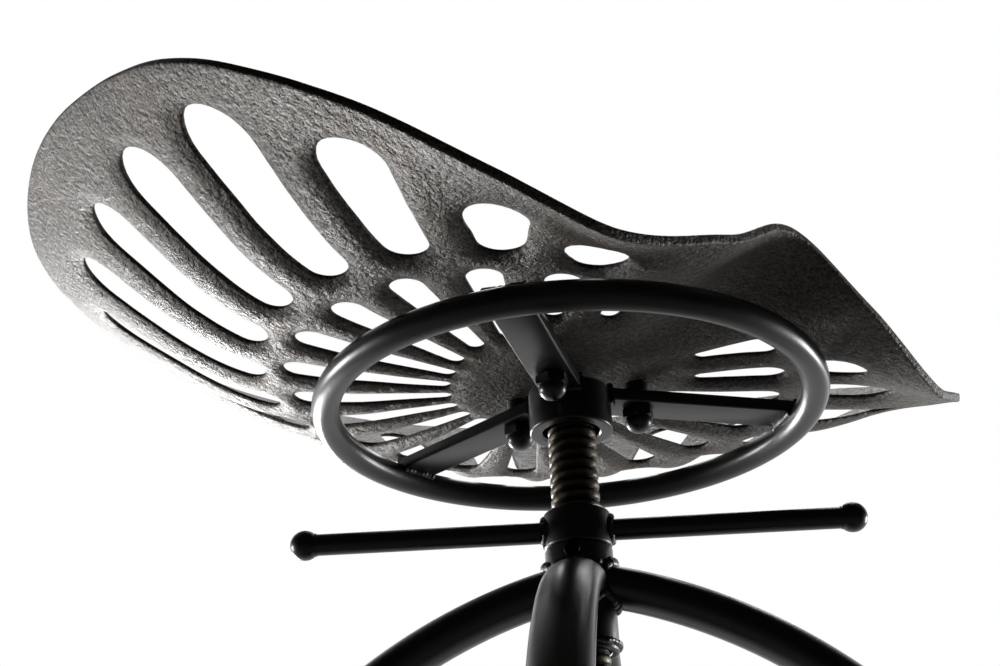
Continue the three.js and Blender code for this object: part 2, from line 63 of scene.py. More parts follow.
# A turned end starts this far from its axis, so that none of its faces is empty.
POLE = 0.02 * MM
# Most of a noise pattern's values lie in this span.
NOISE_SPAN = {"From Min": 0.3, "From Max": 0.7}
# A short seam runs through these shares of its half length.
SEAM_SHARES = (-1, -0.5, 0, 0.5, 1)
# The three bars and their bolts stand at these turns from +X.
BAR_TURNS = tuple(math.radians(turn) for turn in (90, 210, 330))

Colour = tuple[float, float, float, float]
Faces = list[tuple[int, ...]]
Node = bpy.types.Node
Piece = bpy.types.Object
Profile = Sequence[tuple[float, float]]
Rings = Sequence[np.ndarray]
Numbers = tuple[float, ...]
Source = bpy.types.Node | bpy.types.NodeSocket
Tree = bpy.types.NodeTree


class Body(Enum):
    """The moving bodies of the stool."""

    BASE = "base"
    HANDLE = "handle"
    SCREW = "screw"
    SEAT = "seat"


class Slot(Enum):
    """The material slots that the record names."""

    IRON = "raw_cast_iron"
    PAINT = "black_paint"
    STEEL = "oiled_steel"
    BRONZE = "bush_bronze"
    RUBBER = "foot_rubber"


class WeldSeed(IntEnum):
    """The first seed of each family of welds, so that neighbours differ."""

    HUB = 3
    RING = 9
    ARM = 20
    LEG = 30
    SLEEVE = 40
    FOOT_RING = 50


def linear(hex_colour: str) -> Colour:
    """Turns an sRGB hex colour into linear light.

    Args:
        hex_colour: Six hex digits, such as "5b5650".

    Returns:
        Red, green, blue and an alpha of one.
    """
    shades = [int(hex_colour[at : at + 2], 16) / 255 for at in (0, 2, 4)]
    lit = [s / 12.92 if s <= 0.04045 else ((s + 0.055) / 1.055) ** 2.4 for s in shades]
    return (*lit, 1.0)


def add_node(tree: Tree, kind: str, settings: dict | None = None, links: dict | None = None) -> Node:
    """Adds a node to a tree.

    Args:
        tree: The tree that gets the node.
        kind: Blender's name for the kind of node.
        settings: Properties of the node, or values of its inputs, by name or place.
        links: What feeds its inputs, by name or place: a socket, or a node for its first output.

    Returns:
        The new node.
    """
    node = tree.nodes.new(kind)
    for name, value in (settings or {}).items():
        if isinstance(name, str) and hasattr(node, name):
            setattr(node, name, value)
        else:
            node.inputs[name].default_value = value
    for name, source in (links or {}).items():
        tree.links.new(source.outputs[0] if isinstance(source, Node) else source, node.inputs[name])
    return node


def new_material(name: str) -> tuple[bpy.types.Material, Tree]:
    """Makes an empty node material.

    Args:
        name: The material's name.

    Returns:
        The material and its tree.
    """
    material = bpy.data.materials.new(name)
    material.use_nodes = True
    material.node_tree.nodes.clear()
    return material, material.node_tree


def grain(tree: Tree, size: float, detail: float = 2, roughness: float = 0.5) -> Node:
    """Adds a noise pattern on object coordinates.

    Args:
        tree: The material's tree.
        size: Real size of one patch of the pattern.
        detail: Number of finer layers over it.
        roughness: Strength of the finer layers.

    Returns:
        The noise node.
    """
    where = add_node(tree, "ShaderNodeTexCoord").outputs["Object"]
    settings = {"Scale": 1 / size, "Detail": detail, "Roughness": roughness}
    return add_node(tree, "ShaderNodeTexNoise", settings, {"Vector": where})


class Coat(NamedTuple):
    """A coat of colour, none where its pattern is at start and laid on in full where it is at full."""

    pattern: Source
    start: float
    full: float
    strength: float
    colour: str


class Bump(NamedTuple):
    """A layer of relief: its height pattern, its real depth and its strength."""

    height: Source
    depth: float
    strength: float = 1.0


def coloured(tree: Tree, base: str, coats: Sequence[Coat]) -> Source:
    """Lays coats of colour over a base, one after the other.

    Args:
        tree: The material's tree.
        base: The base colour, as hex.
        coats: The coats, at least one.

    Returns:
        The socket with the colour.
    """
    under: dict = {}
    for coat in coats:
        reach = {"From Min": coat.start, "From Max": coat.full, "To Max": coat.strength}
        share = add_node(tree, "ShaderNodeMapRange", reach, {"Value": coat.pattern})
        colours = {"data_type": "RGBA", 6: linear(base), 7: linear(coat.colour)}
        under = {6: add_node(tree, "ShaderNodeMix", colours, {"Factor": share, **under}).outputs[2]}
    return under[6]


def bumps(tree: Tree, layers: Sequence[Bump]) -> Source:
    """Stacks layers of relief.

    Args:
        tree: The material's tree.
        layers: The layers, at least one.

    Returns:
        The bump node of the last layer.
    """
    under: dict = {}
    for layer in layers:
        settings = {"Strength": layer.strength, "Distance": layer.depth}
        under = {"Normal": add_node(tree, "ShaderNodeBump", settings, {"Height": layer.height, **under})}
    return under["Normal"]


def surface(tree: Tree, settings: dict, links: dict) -> None:
    """Ends a material in a Principled shader with these settings and links."""
    shader = add_node(tree, "ShaderNodeBsdfPrincipled", settings, links)
    add_node(tree, "ShaderNodeOutputMaterial", links={"Surface": shader})


@dataclass(frozen=True)
class SandCastIron:
    """Raw grey iron as it left a sand mould, oiled dark: a dull, wrinkled, pitted, brownish grey skin.

    The grit is drawn about twice as coarse as moulding sand, to show.
    """

    skin: str = "6a645d"
    dark_skin: str = "37332f"
    rust_bloom: str = "5c4c3e"
    pit_floor: str = "1c1916"
    grit: float = 1.2 * MM
    grit_depth: float = 0.6 * MM
    wrinkle: float = 3.2 * MM
    wrinkle_depth: float = 2.4 * MM
    pit: float = 8 * MM
    patch: float = 34 * MM

    def material(self) -> bpy.types.Material:
        """Builds the iron's material.

        Returns:
            The material.
        """
        material, tree = new_material("sand_cast_iron")
        sand = grain(tree, self.grit, 3, 0.65)
        wrinkles = grain(tree, self.wrinkle, 4, 0.6)
        coats = [
            Coat(sand, 0.4, 0.62, 1.0, self.skin),
            Coat(grain(tree, self.patch, 4), 0.5, 0.75, 0.4, self.rust_bloom),
            Coat(self.pits(tree), 0.09, 0.04, 1.0, self.pit_floor),
        ]
        settings = {**NOISE_SPAN, "To Min": 0.36, "To Max": 0.6}
        rough = add_node(tree, "ShaderNodeMapRange", settings, {"Value": wrinkles})
        relief = bumps(tree, [Bump(wrinkles, self.wrinkle_depth), Bump(sand, self.grit_depth)])
        colour = coloured(tree, self.dark_skin, coats)
        links = {"Base Color": colour, "Roughness": rough, "Normal": relief}
        surface(tree, {"Metallic": 0.2, "Specular IOR Level": 0.35}, links)
        return material

    def pits(self, tree: Tree) -> Node:
        """Adds the pattern of the sparse round gas pits.

        Args:
            tree: The material's tree.

        Returns:
            The cell node, whose first output is zero in the middle of a pit.
        """
        where = add_node(tree, "ShaderNodeTexCoord").outputs["Object"]
        settings = {"Scale": 1 / self.pit, "Randomness": 1.0}
        return add_node(tree, "ShaderNodeTexVoronoi", settings, {"Vector": where})


@dataclass(frozen=True)
class GlossBlackPaint:
    """Brushed gloss black enamel on steel: deep black with a soft sheen and faint orange peel."""

    enamel: str = "0d0d0e"
    dusty: str = "1b1a1a"
    peel: float = 2.6 * MM
    peel_depth: float = 0.12 * MM
    speck: float = 1.1 * MM
    speck_depth: float = 0.05 * MM
    patch: float = 30 * MM

    def material(self) -> bpy.types.Material:
        """Builds the enamel's material.

        Returns:
            The material.
        """
        material, tree = new_material("gloss_black_enamel")
        patches = grain(tree, self.patch, 4)
        peel = grain(tree, self.peel, 1)
        specks = grain(tree, self.speck, 2)
        colour = coloured(tree, self.enamel, [Coat(patches, 0.5, 0.8, 0.6, self.dusty)])
        settings = {**NOISE_SPAN, "To Min": 0.27, "To Max": 0.38}
        rough = add_node(tree, "ShaderNodeMapRange", settings, {"Value": patches})
        relief = bumps(tree, [Bump(peel, self.peel_depth, 0.35), Bump(specks, self.speck_depth, 0.25)])
        links = {"Base Color": colour, "Roughness": rough, "Normal": relief}
        surface(tree, {"Coat Weight": 0.25, "Coat Roughness": 0.26}, links)
        return material


@dataclass(frozen=True)
class OiledSteel:
    """Bare turned steel under old oil: crests bright from wear and a painted highlight, roots dark from
    brown grime and painted shade.

    The scratches are drawn coarser than real ones, to show.
    """

    # The crest colour is worn steel plus a painted highlight; the root colour is grime plus painted shade.
    crest: str = "7d7468"
    grimy_shaded_root: str = "1d1712"
    grime: float = 5 * MM
    scratch: float = 0.7 * MM
    scratch_depth: float = 0.08 * MM

    def material(self) -> bpy.types.Material:
        """Builds the steel's material. Its corner attribute is one on a crest, painted bright as wear and a
        painted highlight, and zero in a root, painted dark as grime and painted shade.

        Returns:
            The material.
        """
        material, tree = new_material("oiled_turned_steel")
        worn_and_lit = add_node(tree, "ShaderNodeAttribute", {"attribute_name": "worn_and_lit"}).outputs["Fac"]
        grime = grain(tree, self.grime, 4)
        clean = add_node(tree, "ShaderNodeMapRange", {**NOISE_SPAN, "To Min": 0.55}, {"Value": grime})
        # Painted highlight and wear on the crests, painted shade and grime in the roots, mottled by the
        # grime pattern.
        shade = add_node(tree, "ShaderNodeMath", {"operation": "MULTIPLY"}, {0: worn_and_lit, 1: clean})
        colour = coloured(tree, self.grimy_shaded_root, [Coat(shade, 0.0, 1.0, 1.0, self.crest)])
        settings = {**NOISE_SPAN, "To Min": 0.26, "To Max": 0.5}
        rough = add_node(tree, "ShaderNodeMapRange", settings, {"Value": grime})
        relief = bumps(tree, [Bump(grain(tree, self.scratch, 3), self.scratch_depth, 0.4)])
        surface(tree, {"Metallic": 1.0}, {"Base Color": colour, "Roughness": rough, "Normal": relief})
        return material


@dataclass(frozen=True)
class TurnedBronze:
    """Plain bearing bronze, turned and dulled: a warm brown metal with fine tool marks.

    The tool marks are drawn coarser than real ones, to show.
    """

    bronze: str = "8c6a3e"
    dull: str = "57442b"
    patch: float = 4 * MM
    tool_mark: float = 0.5 * MM
    mark_depth: float = 0.04 * MM

    def material(self) -> bpy.types.Material:
        """Builds the bronze's material.

        Returns:
            The material.
        """
        material, tree = new_material("turned_bearing_bronze")
        patches = grain(tree, self.patch, 3)
        colour = coloured(tree, self.dull, [Coat(patches, *NOISE_SPAN.values(), 1.0, self.bronze)])
        relief = bumps(tree, [Bump(grain(tree, self.tool_mark, 1), self.mark_depth, 0.4)])
        surface(tree, {"Metallic": 1.0, "Roughness": 0.38}, {"Base Color": colour, "Normal": relief})
        return material


@dataclass(frozen=True)
class MouldedRubber:
    """Black moulded rubber with floor dust on it: matt, with a fine dull grain.

    The grain is drawn coarser than a real mould's, to show.
    """

    rubber: str = "161617"
    dust: str = "3a3835"
    patch: float = 7 * MM
    moulding: float = 0.6 * MM
    moulding_depth: float = 0.06 * MM

    def material(self) -> bpy.types.Material:
        """Builds the rubber's material.

        Returns:
            The material.
        """
        material, tree = new_material("moulded_black_rubber")
        patches = grain(tree, self.patch, 4)
        colour = coloured(tree, self.rubber, [Coat(patches, 0.5, 0.8, 0.5, self.dust)])
        settings = {**NOISE_SPAN, "To Min": 0.62, "To Max": 0.82}
        rough = add_node(tree, "ShaderNodeMapRange", settings, {"Value": patches})
        relief = bumps(tree, [Bump(grain(tree, self.moulding, 2), self.moulding_depth, 0.5)])
        surface(tree, {}, {"Base Color": colour, "Roughness": rough, "Normal": relief})
        return material


@dataclass
class Finishes:
    """One material for each slot of the record."""

    by_slot: dict[Slot, bpy.types.Material] = field(default_factory=dict)

    def __post_init__(self) -> None:
        """Builds every finish once."""
        self.by_slot = {
            Slot.IRON: SandCastIron().material(),
            Slot.PAINT: GlossBlackPaint().material(),
            Slot.STEEL: OiledSteel().material(),
            Slot.BRONZE: TurnedBronze().material(),
            Slot.RUBBER: MouldedRubber().material(),
        }

    def dress(self, piece: Piece, body: Body, slot: Slot, *nodes: str) -> None:
        """Gives a piece its finish and its body.

        Args:
            piece: The finished piece, at the origin.
            body: The body that it rides on.
            slot: The slot that its finish comes from.
            nodes: The plain nodes that it stands for.
        """
        piece.data.materials.clear()
        piece.data.materials.append(self.by_slot[slot])
        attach(piece, body.value)
        if nodes:
            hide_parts(*nodes)
        LOG.info("%s: %d faces on %s", piece.name, len(piece.data.polygons), body.value)


def polar(radius: float, angle: float) -> Vector:
    """Returns the plan vector of this length, at this angle in radians from +X."""
    return Vector((radius * math.cos(angle), radius * math.sin(angle), 0))


def middle_of(node: str) -> Vector:
    """Returns the middle of a node's box."""
    low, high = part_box(node)
    return (Vector(low) + Vector(high)) / 2


def levels_of(node: str) -> tuple[float, float]:
    """Returns a node's lowest and highest level."""
    low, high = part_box(node)
    return low[2], high[2]


def half_width_of(node: str) -> float:
    """Returns half of a node's width from side to side."""
    low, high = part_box(node)
    return (high[0] - low[0]) / 2


def round_angles(sides: int) -> np.ndarray:
    """Returns the angles of this many points spread round a circle."""
    return np.arange(sides) * FULL_TURN / sides


def linked(name: str, data: bpy.types.ID | None) -> Piece:
    """Makes an object and links it to the scene.

    Args:
        name: The object's name.
        data: Its mesh, camera or light.

    Returns:
        The object.
    """
    made = bpy.data.objects.new(name, data)
    bpy.context.scene.collection.objects.link(made)
    return made


def smoothed(mesh: bpy.types.Mesh, sharp_bend: float = SHARP_BEND) -> bpy.types.Mesh:
    """Shades a mesh smooth, apart from edges that bend by more degrees than this.

    Args:
        mesh: The mesh to shade.
        sharp_bend: The bend past which an edge is sharp.

    Returns:
        The same mesh.
    """
    mesh.shade_smooth()
    mesh.set_sharp_from_angle(angle=math.radians(sharp_bend))
    return mesh


def mesh_piece(name: str, corners: np.ndarray, faces: Faces, sharp_bend: float = SHARP_BEND) -> Piece:
    """Makes a smooth piece with sharp edges where its faces meet steeply.

    Args:
        name: The piece's name.
        corners: Places of its corners.
        faces: Corner numbers of each face.
        sharp_bend: Edges that bend by more degrees than this are sharp.

    Returns:
        The new piece.
    """
    mesh = bpy.data.meshes.new(name)
    mesh.from_pydata([tuple(map(float, corner)) for corner in corners], [], faces)
    mesh.validate()
    return linked(name, smoothed(mesh, sharp_bend))


def bmesh_piece(name: str, shape: bmesh.types.BMesh) -> Piece:
    """Makes a smooth piece of a shape, and frees the shape.

    Args:
        name: The piece's name.
        shape: The finished shape.

    Returns:
        The new piece.
    """
    mesh = bpy.data.meshes.new(name)
    shape.to_mesh(mesh)
    shape.free()
    return linked(name, smoothed(mesh))


def joined(name: str, pieces: Sequence[Piece]) -> Piece:
    """Joins pieces into one.

    Args:
        name: The new piece's name.
        pieces: Pieces that go into it. They are removed.

    Returns:
        The new piece.
    """
    whole = bmesh.new()
    for piece in pieces:
        whole.from_mesh(piece.data)
        bpy.data.meshes.remove(piece.data)
    return bmesh_piece(name, whole)


def band(low: int, high: int, count: int) -> Faces:
    """Covers the gap between two rings.

    Args:
        low: Number of the first ring's first corner.
        high: Number of the second ring's first corner.
        count: Corners in each ring.

    Returns:
        The faces.
    """
    pairs = [(at, (at + 1) % count) for at in range(count)]
    return [(low + at, low + after, high + after, high + at) for at, after in pairs]


def skin(rings: Rings, loop: bool = False) -> tuple[np.ndarray, Faces]:
    """Covers a row of rings with faces that point away from their middle.

    Args:
        rings: Rings of as many corners each, anticlockwise seen from where the row goes.
        loop: True where the last ring meets the first. Otherwise both ends are closed.

    Returns:
        The corners and the faces.
    """
    count = len(rings[0])
    corners = np.concatenate(rings)
    faces: Faces = []
    for row in range(len(rings) if loop else len(rings) - 1):
        faces += band(row * count, (row + 1) % len(rings) * count, count)
    if not loop:
        ends = np.array([rings[0].mean(axis=0), rings[-1].mean(axis=0)])
        first = len(corners)
        last = (len(rings) - 1) * count
        corners = np.concatenate([corners, ends])
        for at in range(count):
            after = (at + 1) % count
            faces.append((first, after, at))
            faces.append((first + 1, last + at, last + after))
    return corners, faces


def rounded(profile: Profile, radius: float, steps: int = 3) -> list[tuple[float, float]]:
    """Rounds the inner corners of an open profile.

    Args:
        profile: Points of the profile.
        radius: Radius of each rounding, less where a side is short.
        steps: Straight steps in each rounding.

    Returns:
        The points with an arc in place of each corner.
    """
    most_of_side = 0.45
    points = [Vector(point) for point in profile]
    result = [tuple(points[0])]
    for before, corner, after in zip(points, points[1:], points[2:]):
        back = before - corner
        ahead = after - corner
        reach = min(radius, back.length * most_of_side, ahead.length * most_of_side)
        start = corner + back.normalized() * reach
        end = corner + ahead.normalized() * reach
        for step in range(steps + 1):
            share = step / steps
            curve = start * (1 - share) ** 2 + corner * 2 * share * (1 - share) + end * share**2
            result.append(tuple(curve))
    result.append(tuple(points[-1]))
    return result


def level_ring(middle: Vector, radius: float | np.ndarray, level: float, angles: np.ndarray) -> np.ndarray:
    """Makes a level ring of points round an upright axis.

    Args:
        middle: A point on the axis.
        radius: The ring's radius, or one for each angle.
        level: The ring's level.
        angles: Angles of the points.

    Returns:
        The points.
    """
    across = middle.x + radius * np.cos(angles)
    along = middle.y + radius * np.sin(angles)
    return np.stack([across, along, np.full(len(angles), level)], axis=1)


def lathe_rings(profile: Profile, sides: int, middle: Vector) -> Rings:
    """Turns a profile of radius and level round an upright axis through middle."""
    return [level_ring(middle, radius, level, round_angles(sides)) for radius, level in profile]


def side_rings(profile: Profile, sides: int, start: Vector, turn: float) -> Rings:
    """Turns a profile round a level axis.

    Args:
        profile: Radius of each ring, and how far along the axis it is.
        sides: Points in each ring.
        start: Where the axis starts.
        turn: Where the axis points, in radians from +X.

    Returns:
        The rings.
    """
    around = round_angles(sides)[:, None]
    along = np.array(polar(1, turn))
    across = np.array(polar(1, turn + QUARTER_TURN))
    circle = np.cos(around) * across + np.sin(around) * np.array([0, 0, 1.0])
    return [np.array(start) + along * ahead + circle * radius for radius, ahead in profile]


def turned_collar(
    name: str, profile: Profile, middle: Vector, sides: int = 64, edge: float = 0.5 * MM
) -> Piece:
    """Makes a turned piece with a hole, from a profile that goes once round its wall.

    Args:
        name: The piece's name.
        profile: Radius and level of each corner, out along the bottom and back along the top.
        middle: A point on the axis.
        sides: Sides round the piece.
        edge: Rounding of its corners.

    Returns:
        The new piece.
    """
    start = ((profile[0][0] + profile[-1][0]) / 2, (profile[0][1] + profile[-1][1]) / 2)
    round_trip = rounded([start, *profile, start], edge)[:-1]
    return mesh_piece(name, *skin(lathe_rings(round_trip, sides, middle), loop=True))


def hexagon_rings(across: float, bottom: float, top: float, middle: Vector, sides: int = 96) -> Rings:
    """Makes the rings of a hexagon whose corners are chamfered at both ends.

    Args:
        across: Size across the flats.
        bottom: Level of the lower face.
        top: Level of the upper face.
        middle: A point on the axis.
        sides: Sides round the piece, a multiple of six.

    Returns:
        Rings from the bottom up.
    """
    flat = across / 2
    chamfer = math.radians(30)
    face = 0.985 * flat
    angles = round_angles(sides)
    sixth = FULL_TURN / 6
    from_flat = (angles + sixth / 2) % sixth - sixth / 2
    corner = flat / np.cos(from_flat)
    drop = (corner - flat) * math.tan(chamfer)
    rows = [(face, bottom), (corner, bottom + drop), (corner, top - drop), (face, top)]
    return [level_ring(middle, radius, level, angles) for radius, level in rows]


def path_piece(name: str, places: Sequence[Vector], closed: bool = False) -> Piece:
    """Makes an object of edges along places, for a tree to sweep.

    Args:
        name: The object's name.
        places: Places along the path.
        closed: True where the last place meets the first.

    Returns:
        The object.
    """
    count = len(places)
    edges = [(at, at + 1) for at in range(count - 1)]
    if closed:
        edges.append((count - 1, 0))
    mesh = bpy.data.meshes.new(name)
    mesh.from_pydata([tuple(place) for place in places], edges, [])
    return linked(name, mesh)


def new_tree(name: str, sockets: dict[str, tuple[str, object]]) -> tuple[Tree, bpy.types.NodeOutputs]:
    """Starts a Geometry Nodes tree.

    Args:
        name: The tree's name.
        sockets: Socket type and default of each input after the geometry, by name.

    Returns:
        The tree and the sockets that give its inputs.
    """
    tree = bpy.data.node_groups.new(name, "GeometryNodeTree")
    for way in ("INPUT", "OUTPUT"):
        tree.interface.new_socket("Geometry", in_out=way, socket_type="NodeSocketGeometry")
    for label, (kind, value) in {**sockets, "Material": ("NodeSocketMaterial", None)}.items():
        socket = tree.interface.new_socket(label, in_out="INPUT", socket_type=kind)
        if value is not None:
            socket.default_value = value
    return tree, tree.nodes.new("NodeGroupInput").outputs


def end_tree(tree: Tree, made: Source, material: Source) -> None:
    """Ends a tree: real geometry with its material on it.

    Args:
        tree: The tree to end.
        made: The finished geometry.
        material: The material's socket.
    """
    real = add_node(tree, "GeometryNodeRealizeInstances", links={"Geometry": made})
    finished = add_node(tree, "GeometryNodeSetMaterial", links={"Geometry": real, "Material": material})
    add_node(tree, "NodeGroupOutput", links={"Geometry": finished})


def tube_tree() -> Tree:
    """Builds the tree that sweeps an oval bar along a path, with closed ends.

    Returns:
        The tree.
    """
    sockets = {
        "Width": ("NodeSocketFloat", 10 * MM),
        "Depth": ("NodeSocketFloat", 10 * MM),
        "Sides": ("NodeSocketInt", 32),
    }
    tree, given = new_tree("swept_tube", sockets)
    path = add_node(tree, "GeometryNodeMeshToCurve", links={"Mesh": given["Geometry"]})
    upright = add_node(tree, "GeometryNodeSetCurveNormal", {"mode": "Z_UP"}, {"Curve": path})
    one_wide = {"Radius": 0.5}
    circle = add_node(tree, "GeometryNodeCurvePrimitiveCircle", one_wide, {"Resolution": given["Sides"]})
    size = add_node(tree, "ShaderNodeCombineXYZ", {2: 1.0}, {0: given["Width"], 1: given["Depth"]})
    oval = add_node(tree, "GeometryNodeTransform", links={"Geometry": circle, "Scale": size})
    links = {"Curve": upright, "Profile Curve": oval}
    swept = add_node(tree, "GeometryNodeCurveToMesh", {"Fill Caps": True}, links)
    end_tree(tree, swept, given["Material"])
    return tree


def weld_tree() -> Tree:
    """Builds the tree that lays a rippled, uneven weld bead along a path.

    Returns:
        The tree.
    """
    sockets = {
        "Bead": ("NodeSocketFloat", 4 * MM),
        "Ripple": ("NodeSocketFloat", 2.4 * MM),
        "Unevenness": ("NodeSocketFloat", 0.7 * MM),
        "Seed": ("NodeSocketInt", 1),
    }
    steps_a_ripple = 5.0
    thin, thick = 0.93, 1.05
    lump = 5 * MM
    tree, given = new_tree("weld_bead", sockets)
    path = add_node(tree, "GeometryNodeMeshToCurve", links={"Mesh": given["Geometry"]})
    divided = {"operation": "DIVIDE", 1: steps_a_ripple}
    step = add_node(tree, "ShaderNodeMath", divided, {0: given["Ripple"]})
    links = {"Curve": path, "Length": step}
    fine = add_node(tree, "GeometryNodeResampleCurve", {"mode": "LENGTH"}, links)
    links = {0: add_node(tree, "GeometryNodeSplineParameter").outputs["Length"], 1: given["Ripple"]}
    turns = add_node(tree, "ShaderNodeMath", {"operation": "DIVIDE"}, links)
    wave = add_node(tree, "ShaderNodeMath", {"operation": "MULTIPLY", 1: math.pi}, {0: turns})
    for operation in ("SINE", "ABSOLUTE"):
        wave = add_node(tree, "ShaderNodeMath", {"operation": operation}, {0: wave})
    swell = add_node(tree, "ShaderNodeMapRange", {"To Min": thin, "To Max": thick}, {"Value": wave})
    links = {0: swell, 1: given["Bead"]}
    width = add_node(tree, "ShaderNodeMath", {"operation": "MULTIPLY"}, links)
    circle = add_node(tree, "GeometryNodeCurvePrimitiveCircle", {"Radius": 0.5, "Resolution": 12})
    links = {"Curve": fine, "Profile Curve": circle, "Scale": width}
    swept = add_node(tree, "GeometryNodeCurveToMesh", {"Fill Caps": True}, links)
    settings = {"noise_dimensions": "4D", "Scale": 1 / lump, "Detail": 2.0}
    rough = add_node(tree, "ShaderNodeTexNoise", settings, {"W": given["Seed"]}).outputs["Color"]
    halfway = {"operation": "SUBTRACT", 1: (0.5, 0.5, 0.5)}
    centred = add_node(tree, "ShaderNodeVectorMath", halfway, {0: rough})
    links = {0: centred, "Scale": given["Unevenness"]}
    shift = add_node(tree, "ShaderNodeVectorMath", {"operation": "SCALE"}, links)
    uneven = add_node(tree, "GeometryNodeSetPosition", links={"Geometry": swept, "Offset": shift})
    end_tree(tree, uneven, given["Material"])
    return tree


@dataclass
class Workshop:
    """Sweeps tubes and lays welds, and hands pieces to their finish."""

    finishes: Finishes
    tubes: Tree = field(default_factory=tube_tree)
    welds: Tree = field(default_factory=weld_tree)
    unevenness: float = 0.55
    swept_sharp_bend: float = 50

    def grown(self, source: Piece, tree: Tree, sizes: dict) -> Piece:
        """Runs a tree on a source, and returns the result as a plain painted mesh of the same name.

        Args:
            source: Object that carries the path. It is removed.
            tree: The tree to run.
            sizes: Values of the tree's named inputs.

        Returns:
            The new piece.
        """
        name = source.name
        modifier = source.modifiers.new("grow", "NODES")
        modifier.node_group = tree
        values = {**sizes, "Material": self.finishes.by_slot[Slot.PAINT]}
        for item in tree.interface.items_tree:
            if item.in_out == "INPUT" and item.name in values:
                modifier[item.identifier] = values[item.name]
        graph = bpy.context.evaluated_depsgraph_get()
        mesh = bpy.data.meshes.new_from_object(source.evaluated_get(graph))
        source.modifiers.remove(modifier)
        bpy.data.objects.remove(source)
        mesh.name = name
        return linked(name, smoothed(mesh, self.swept_sharp_bend))

    def tube(
        self,
        name: str,
        places: Sequence[Vector],
        width: float,
        depth: float,
        closed: bool = False,
        sides: int = 40,
    ) -> Piece:
        """Sweeps a painted bar.

        Args:
            name: The piece's name.
            places: Places along its middle.
            width: Level width of its section.
            depth: Its other width.
            closed: True where it is a hoop.
            sides: Sides round its section.

        Returns:
            The new piece.
        """
        sizes = {"Width": width, "Depth": depth, "Sides": sides}
        return self.grown(path_piece(name, places, closed), self.tubes, sizes)

    def weld(
        self, name: str, places: Sequence[Vector], bead: float, seed: int, closed: bool = True
    ) -> Piece:
        """Lays a painted weld bead.

        Args:
            name: The piece's name.
            places: Places along the seam.
            bead: Thickness of the bead.
            seed: Seed of its unevenness.
            closed: True where it goes all the way round.

        Returns:
            The new piece.
        """
        sizes = {"Bead": bead, "Seed": int(seed), "Unevenness": bead * self.unevenness}
        return self.grown(path_piece(name, places, closed), self.welds, sizes)


def circle_places(middle: Vector, radius: float, count: int) -> list[Vector]:
    """Returns places round a level circle."""
    return [middle + polar(radius, at * FULL_TURN / count) for at in range(count)]


def curve_through(angles: Numbers, values: Numbers, asked: np.ndarray) -> np.ndarray:
    """Reads a smooth curve through values at rising angles, level at both ends.

    Args:
        angles: Angles of the values.
        values: The values.
        asked: Angles to read.

    Returns:
        The curve at those angles.
    """
    knots = np.array(angles, float)
    known = np.array(values, float)
    slopes = np.zeros(len(known))
    slopes[1:-1] = (known[2:] - known[:-2]) / (knots[2:] - knots[:-2])
    at = np.clip(np.searchsorted(knots, asked, side="right") - 1, 0, len(knots) - 2)
    span = knots[at + 1] - knots[at]
    share = (asked - knots[at]) / span
    cubed = share**3
    squared = share**2
    return (
        known[at] * (2 * cubed - 3 * squared + 1)
        + known[at + 1] * (3 * squared - 2 * cubed)
        + slopes[at] * span * (cubed - 2 * squared + share)
        + slopes[at + 1] * span * (cubed - squared)
    )


@dataclass(frozen=True)
class SeatSlot:
    """A tapering slot with round ends that points out from a centre behind the screw's axis."""

    centre_back: float
    angle: float
    start: float
    end: float
    start_half: float
    end_half: float
    least_taper: float = 1.3

    def centres(self) -> tuple[float, float]:
        """Finds the centres of the two round ends, far enough apart to join smoothly.

        Returns:
            How far out the first and the last centre are.
        """
        last = self.end - self.end_half
        apart = self.least_taper * abs(self.end_half - self.start_half)
        return min(self.start + self.start_half, last - apart), last

    def outline(self, margin: float, arc_steps: int = 14, side_steps: int = 16) -> np.ndarray:
        """Draws the slot's outline in plan.

        Args:
            margin: How far the outline stands outside the slot.
            arc_steps: Steps round each end.
            side_steps: Steps along each side.

        Returns:
            Places relative to the axis.
        """
        first, last = self.centres()
        lean = math.asin((self.end_half - self.start_half) / (last - first))
        arcs = [
            (last, self.end_half + margin, -QUARTER_TURN - lean, QUARTER_TURN + lean),
            (first, self.start_half + margin, QUARTER_TURN + lean, 3 * QUARTER_TURN - lean),
        ]
        ends = []
        for centre, radius, begin, finish in arcs:
            turn = np.linspace(begin, finish, arc_steps + 1)
            ends.append(np.stack([centre + radius * np.cos(turn), radius * np.sin(turn)], axis=1))
        rows = []
        for here, there in (ends, reversed(ends)):
            share = np.linspace(0, 1, side_steps + 1)[1:-1, None]
            rows += [here, here[-1] * (1 - share) + there[0] * share]
        local = np.concatenate(rows)
        cos, sin = math.cos(self.angle), math.sin(self.angle)
        return local @ np.array([[cos, sin], [-sin, cos]]) + np.array([0, self.centre_back])

    def gap(self, places: np.ndarray) -> np.ndarray:
        """Measures the distance from the slot.

        Args:
            places: Plan places relative to the axis.

        Returns:
            Each place's distance, below zero inside the slot.
        """
        cos, sin = math.cos(self.angle), math.sin(self.angle)
        from_centre = places - np.array([0, self.centre_back])
        along = from_centre @ np.array([cos, sin])
        aside = np.abs(from_centre @ np.array([-sin, cos]))
        first, last = self.centres()
        length = last - first
        slope = (self.start_half - self.end_half) / length
        level = math.sqrt(1 - slope * slope)
        ahead = along - first
        reach = level * ahead - slope * aside
        near = np.hypot(aside, ahead) - self.start_half
        far = np.hypot(aside, ahead - length) - self.end_half
        side = level * aside + slope * ahead - self.start_half
        return np.where(reach < 0, near, np.where(reach > level * length, far, side))


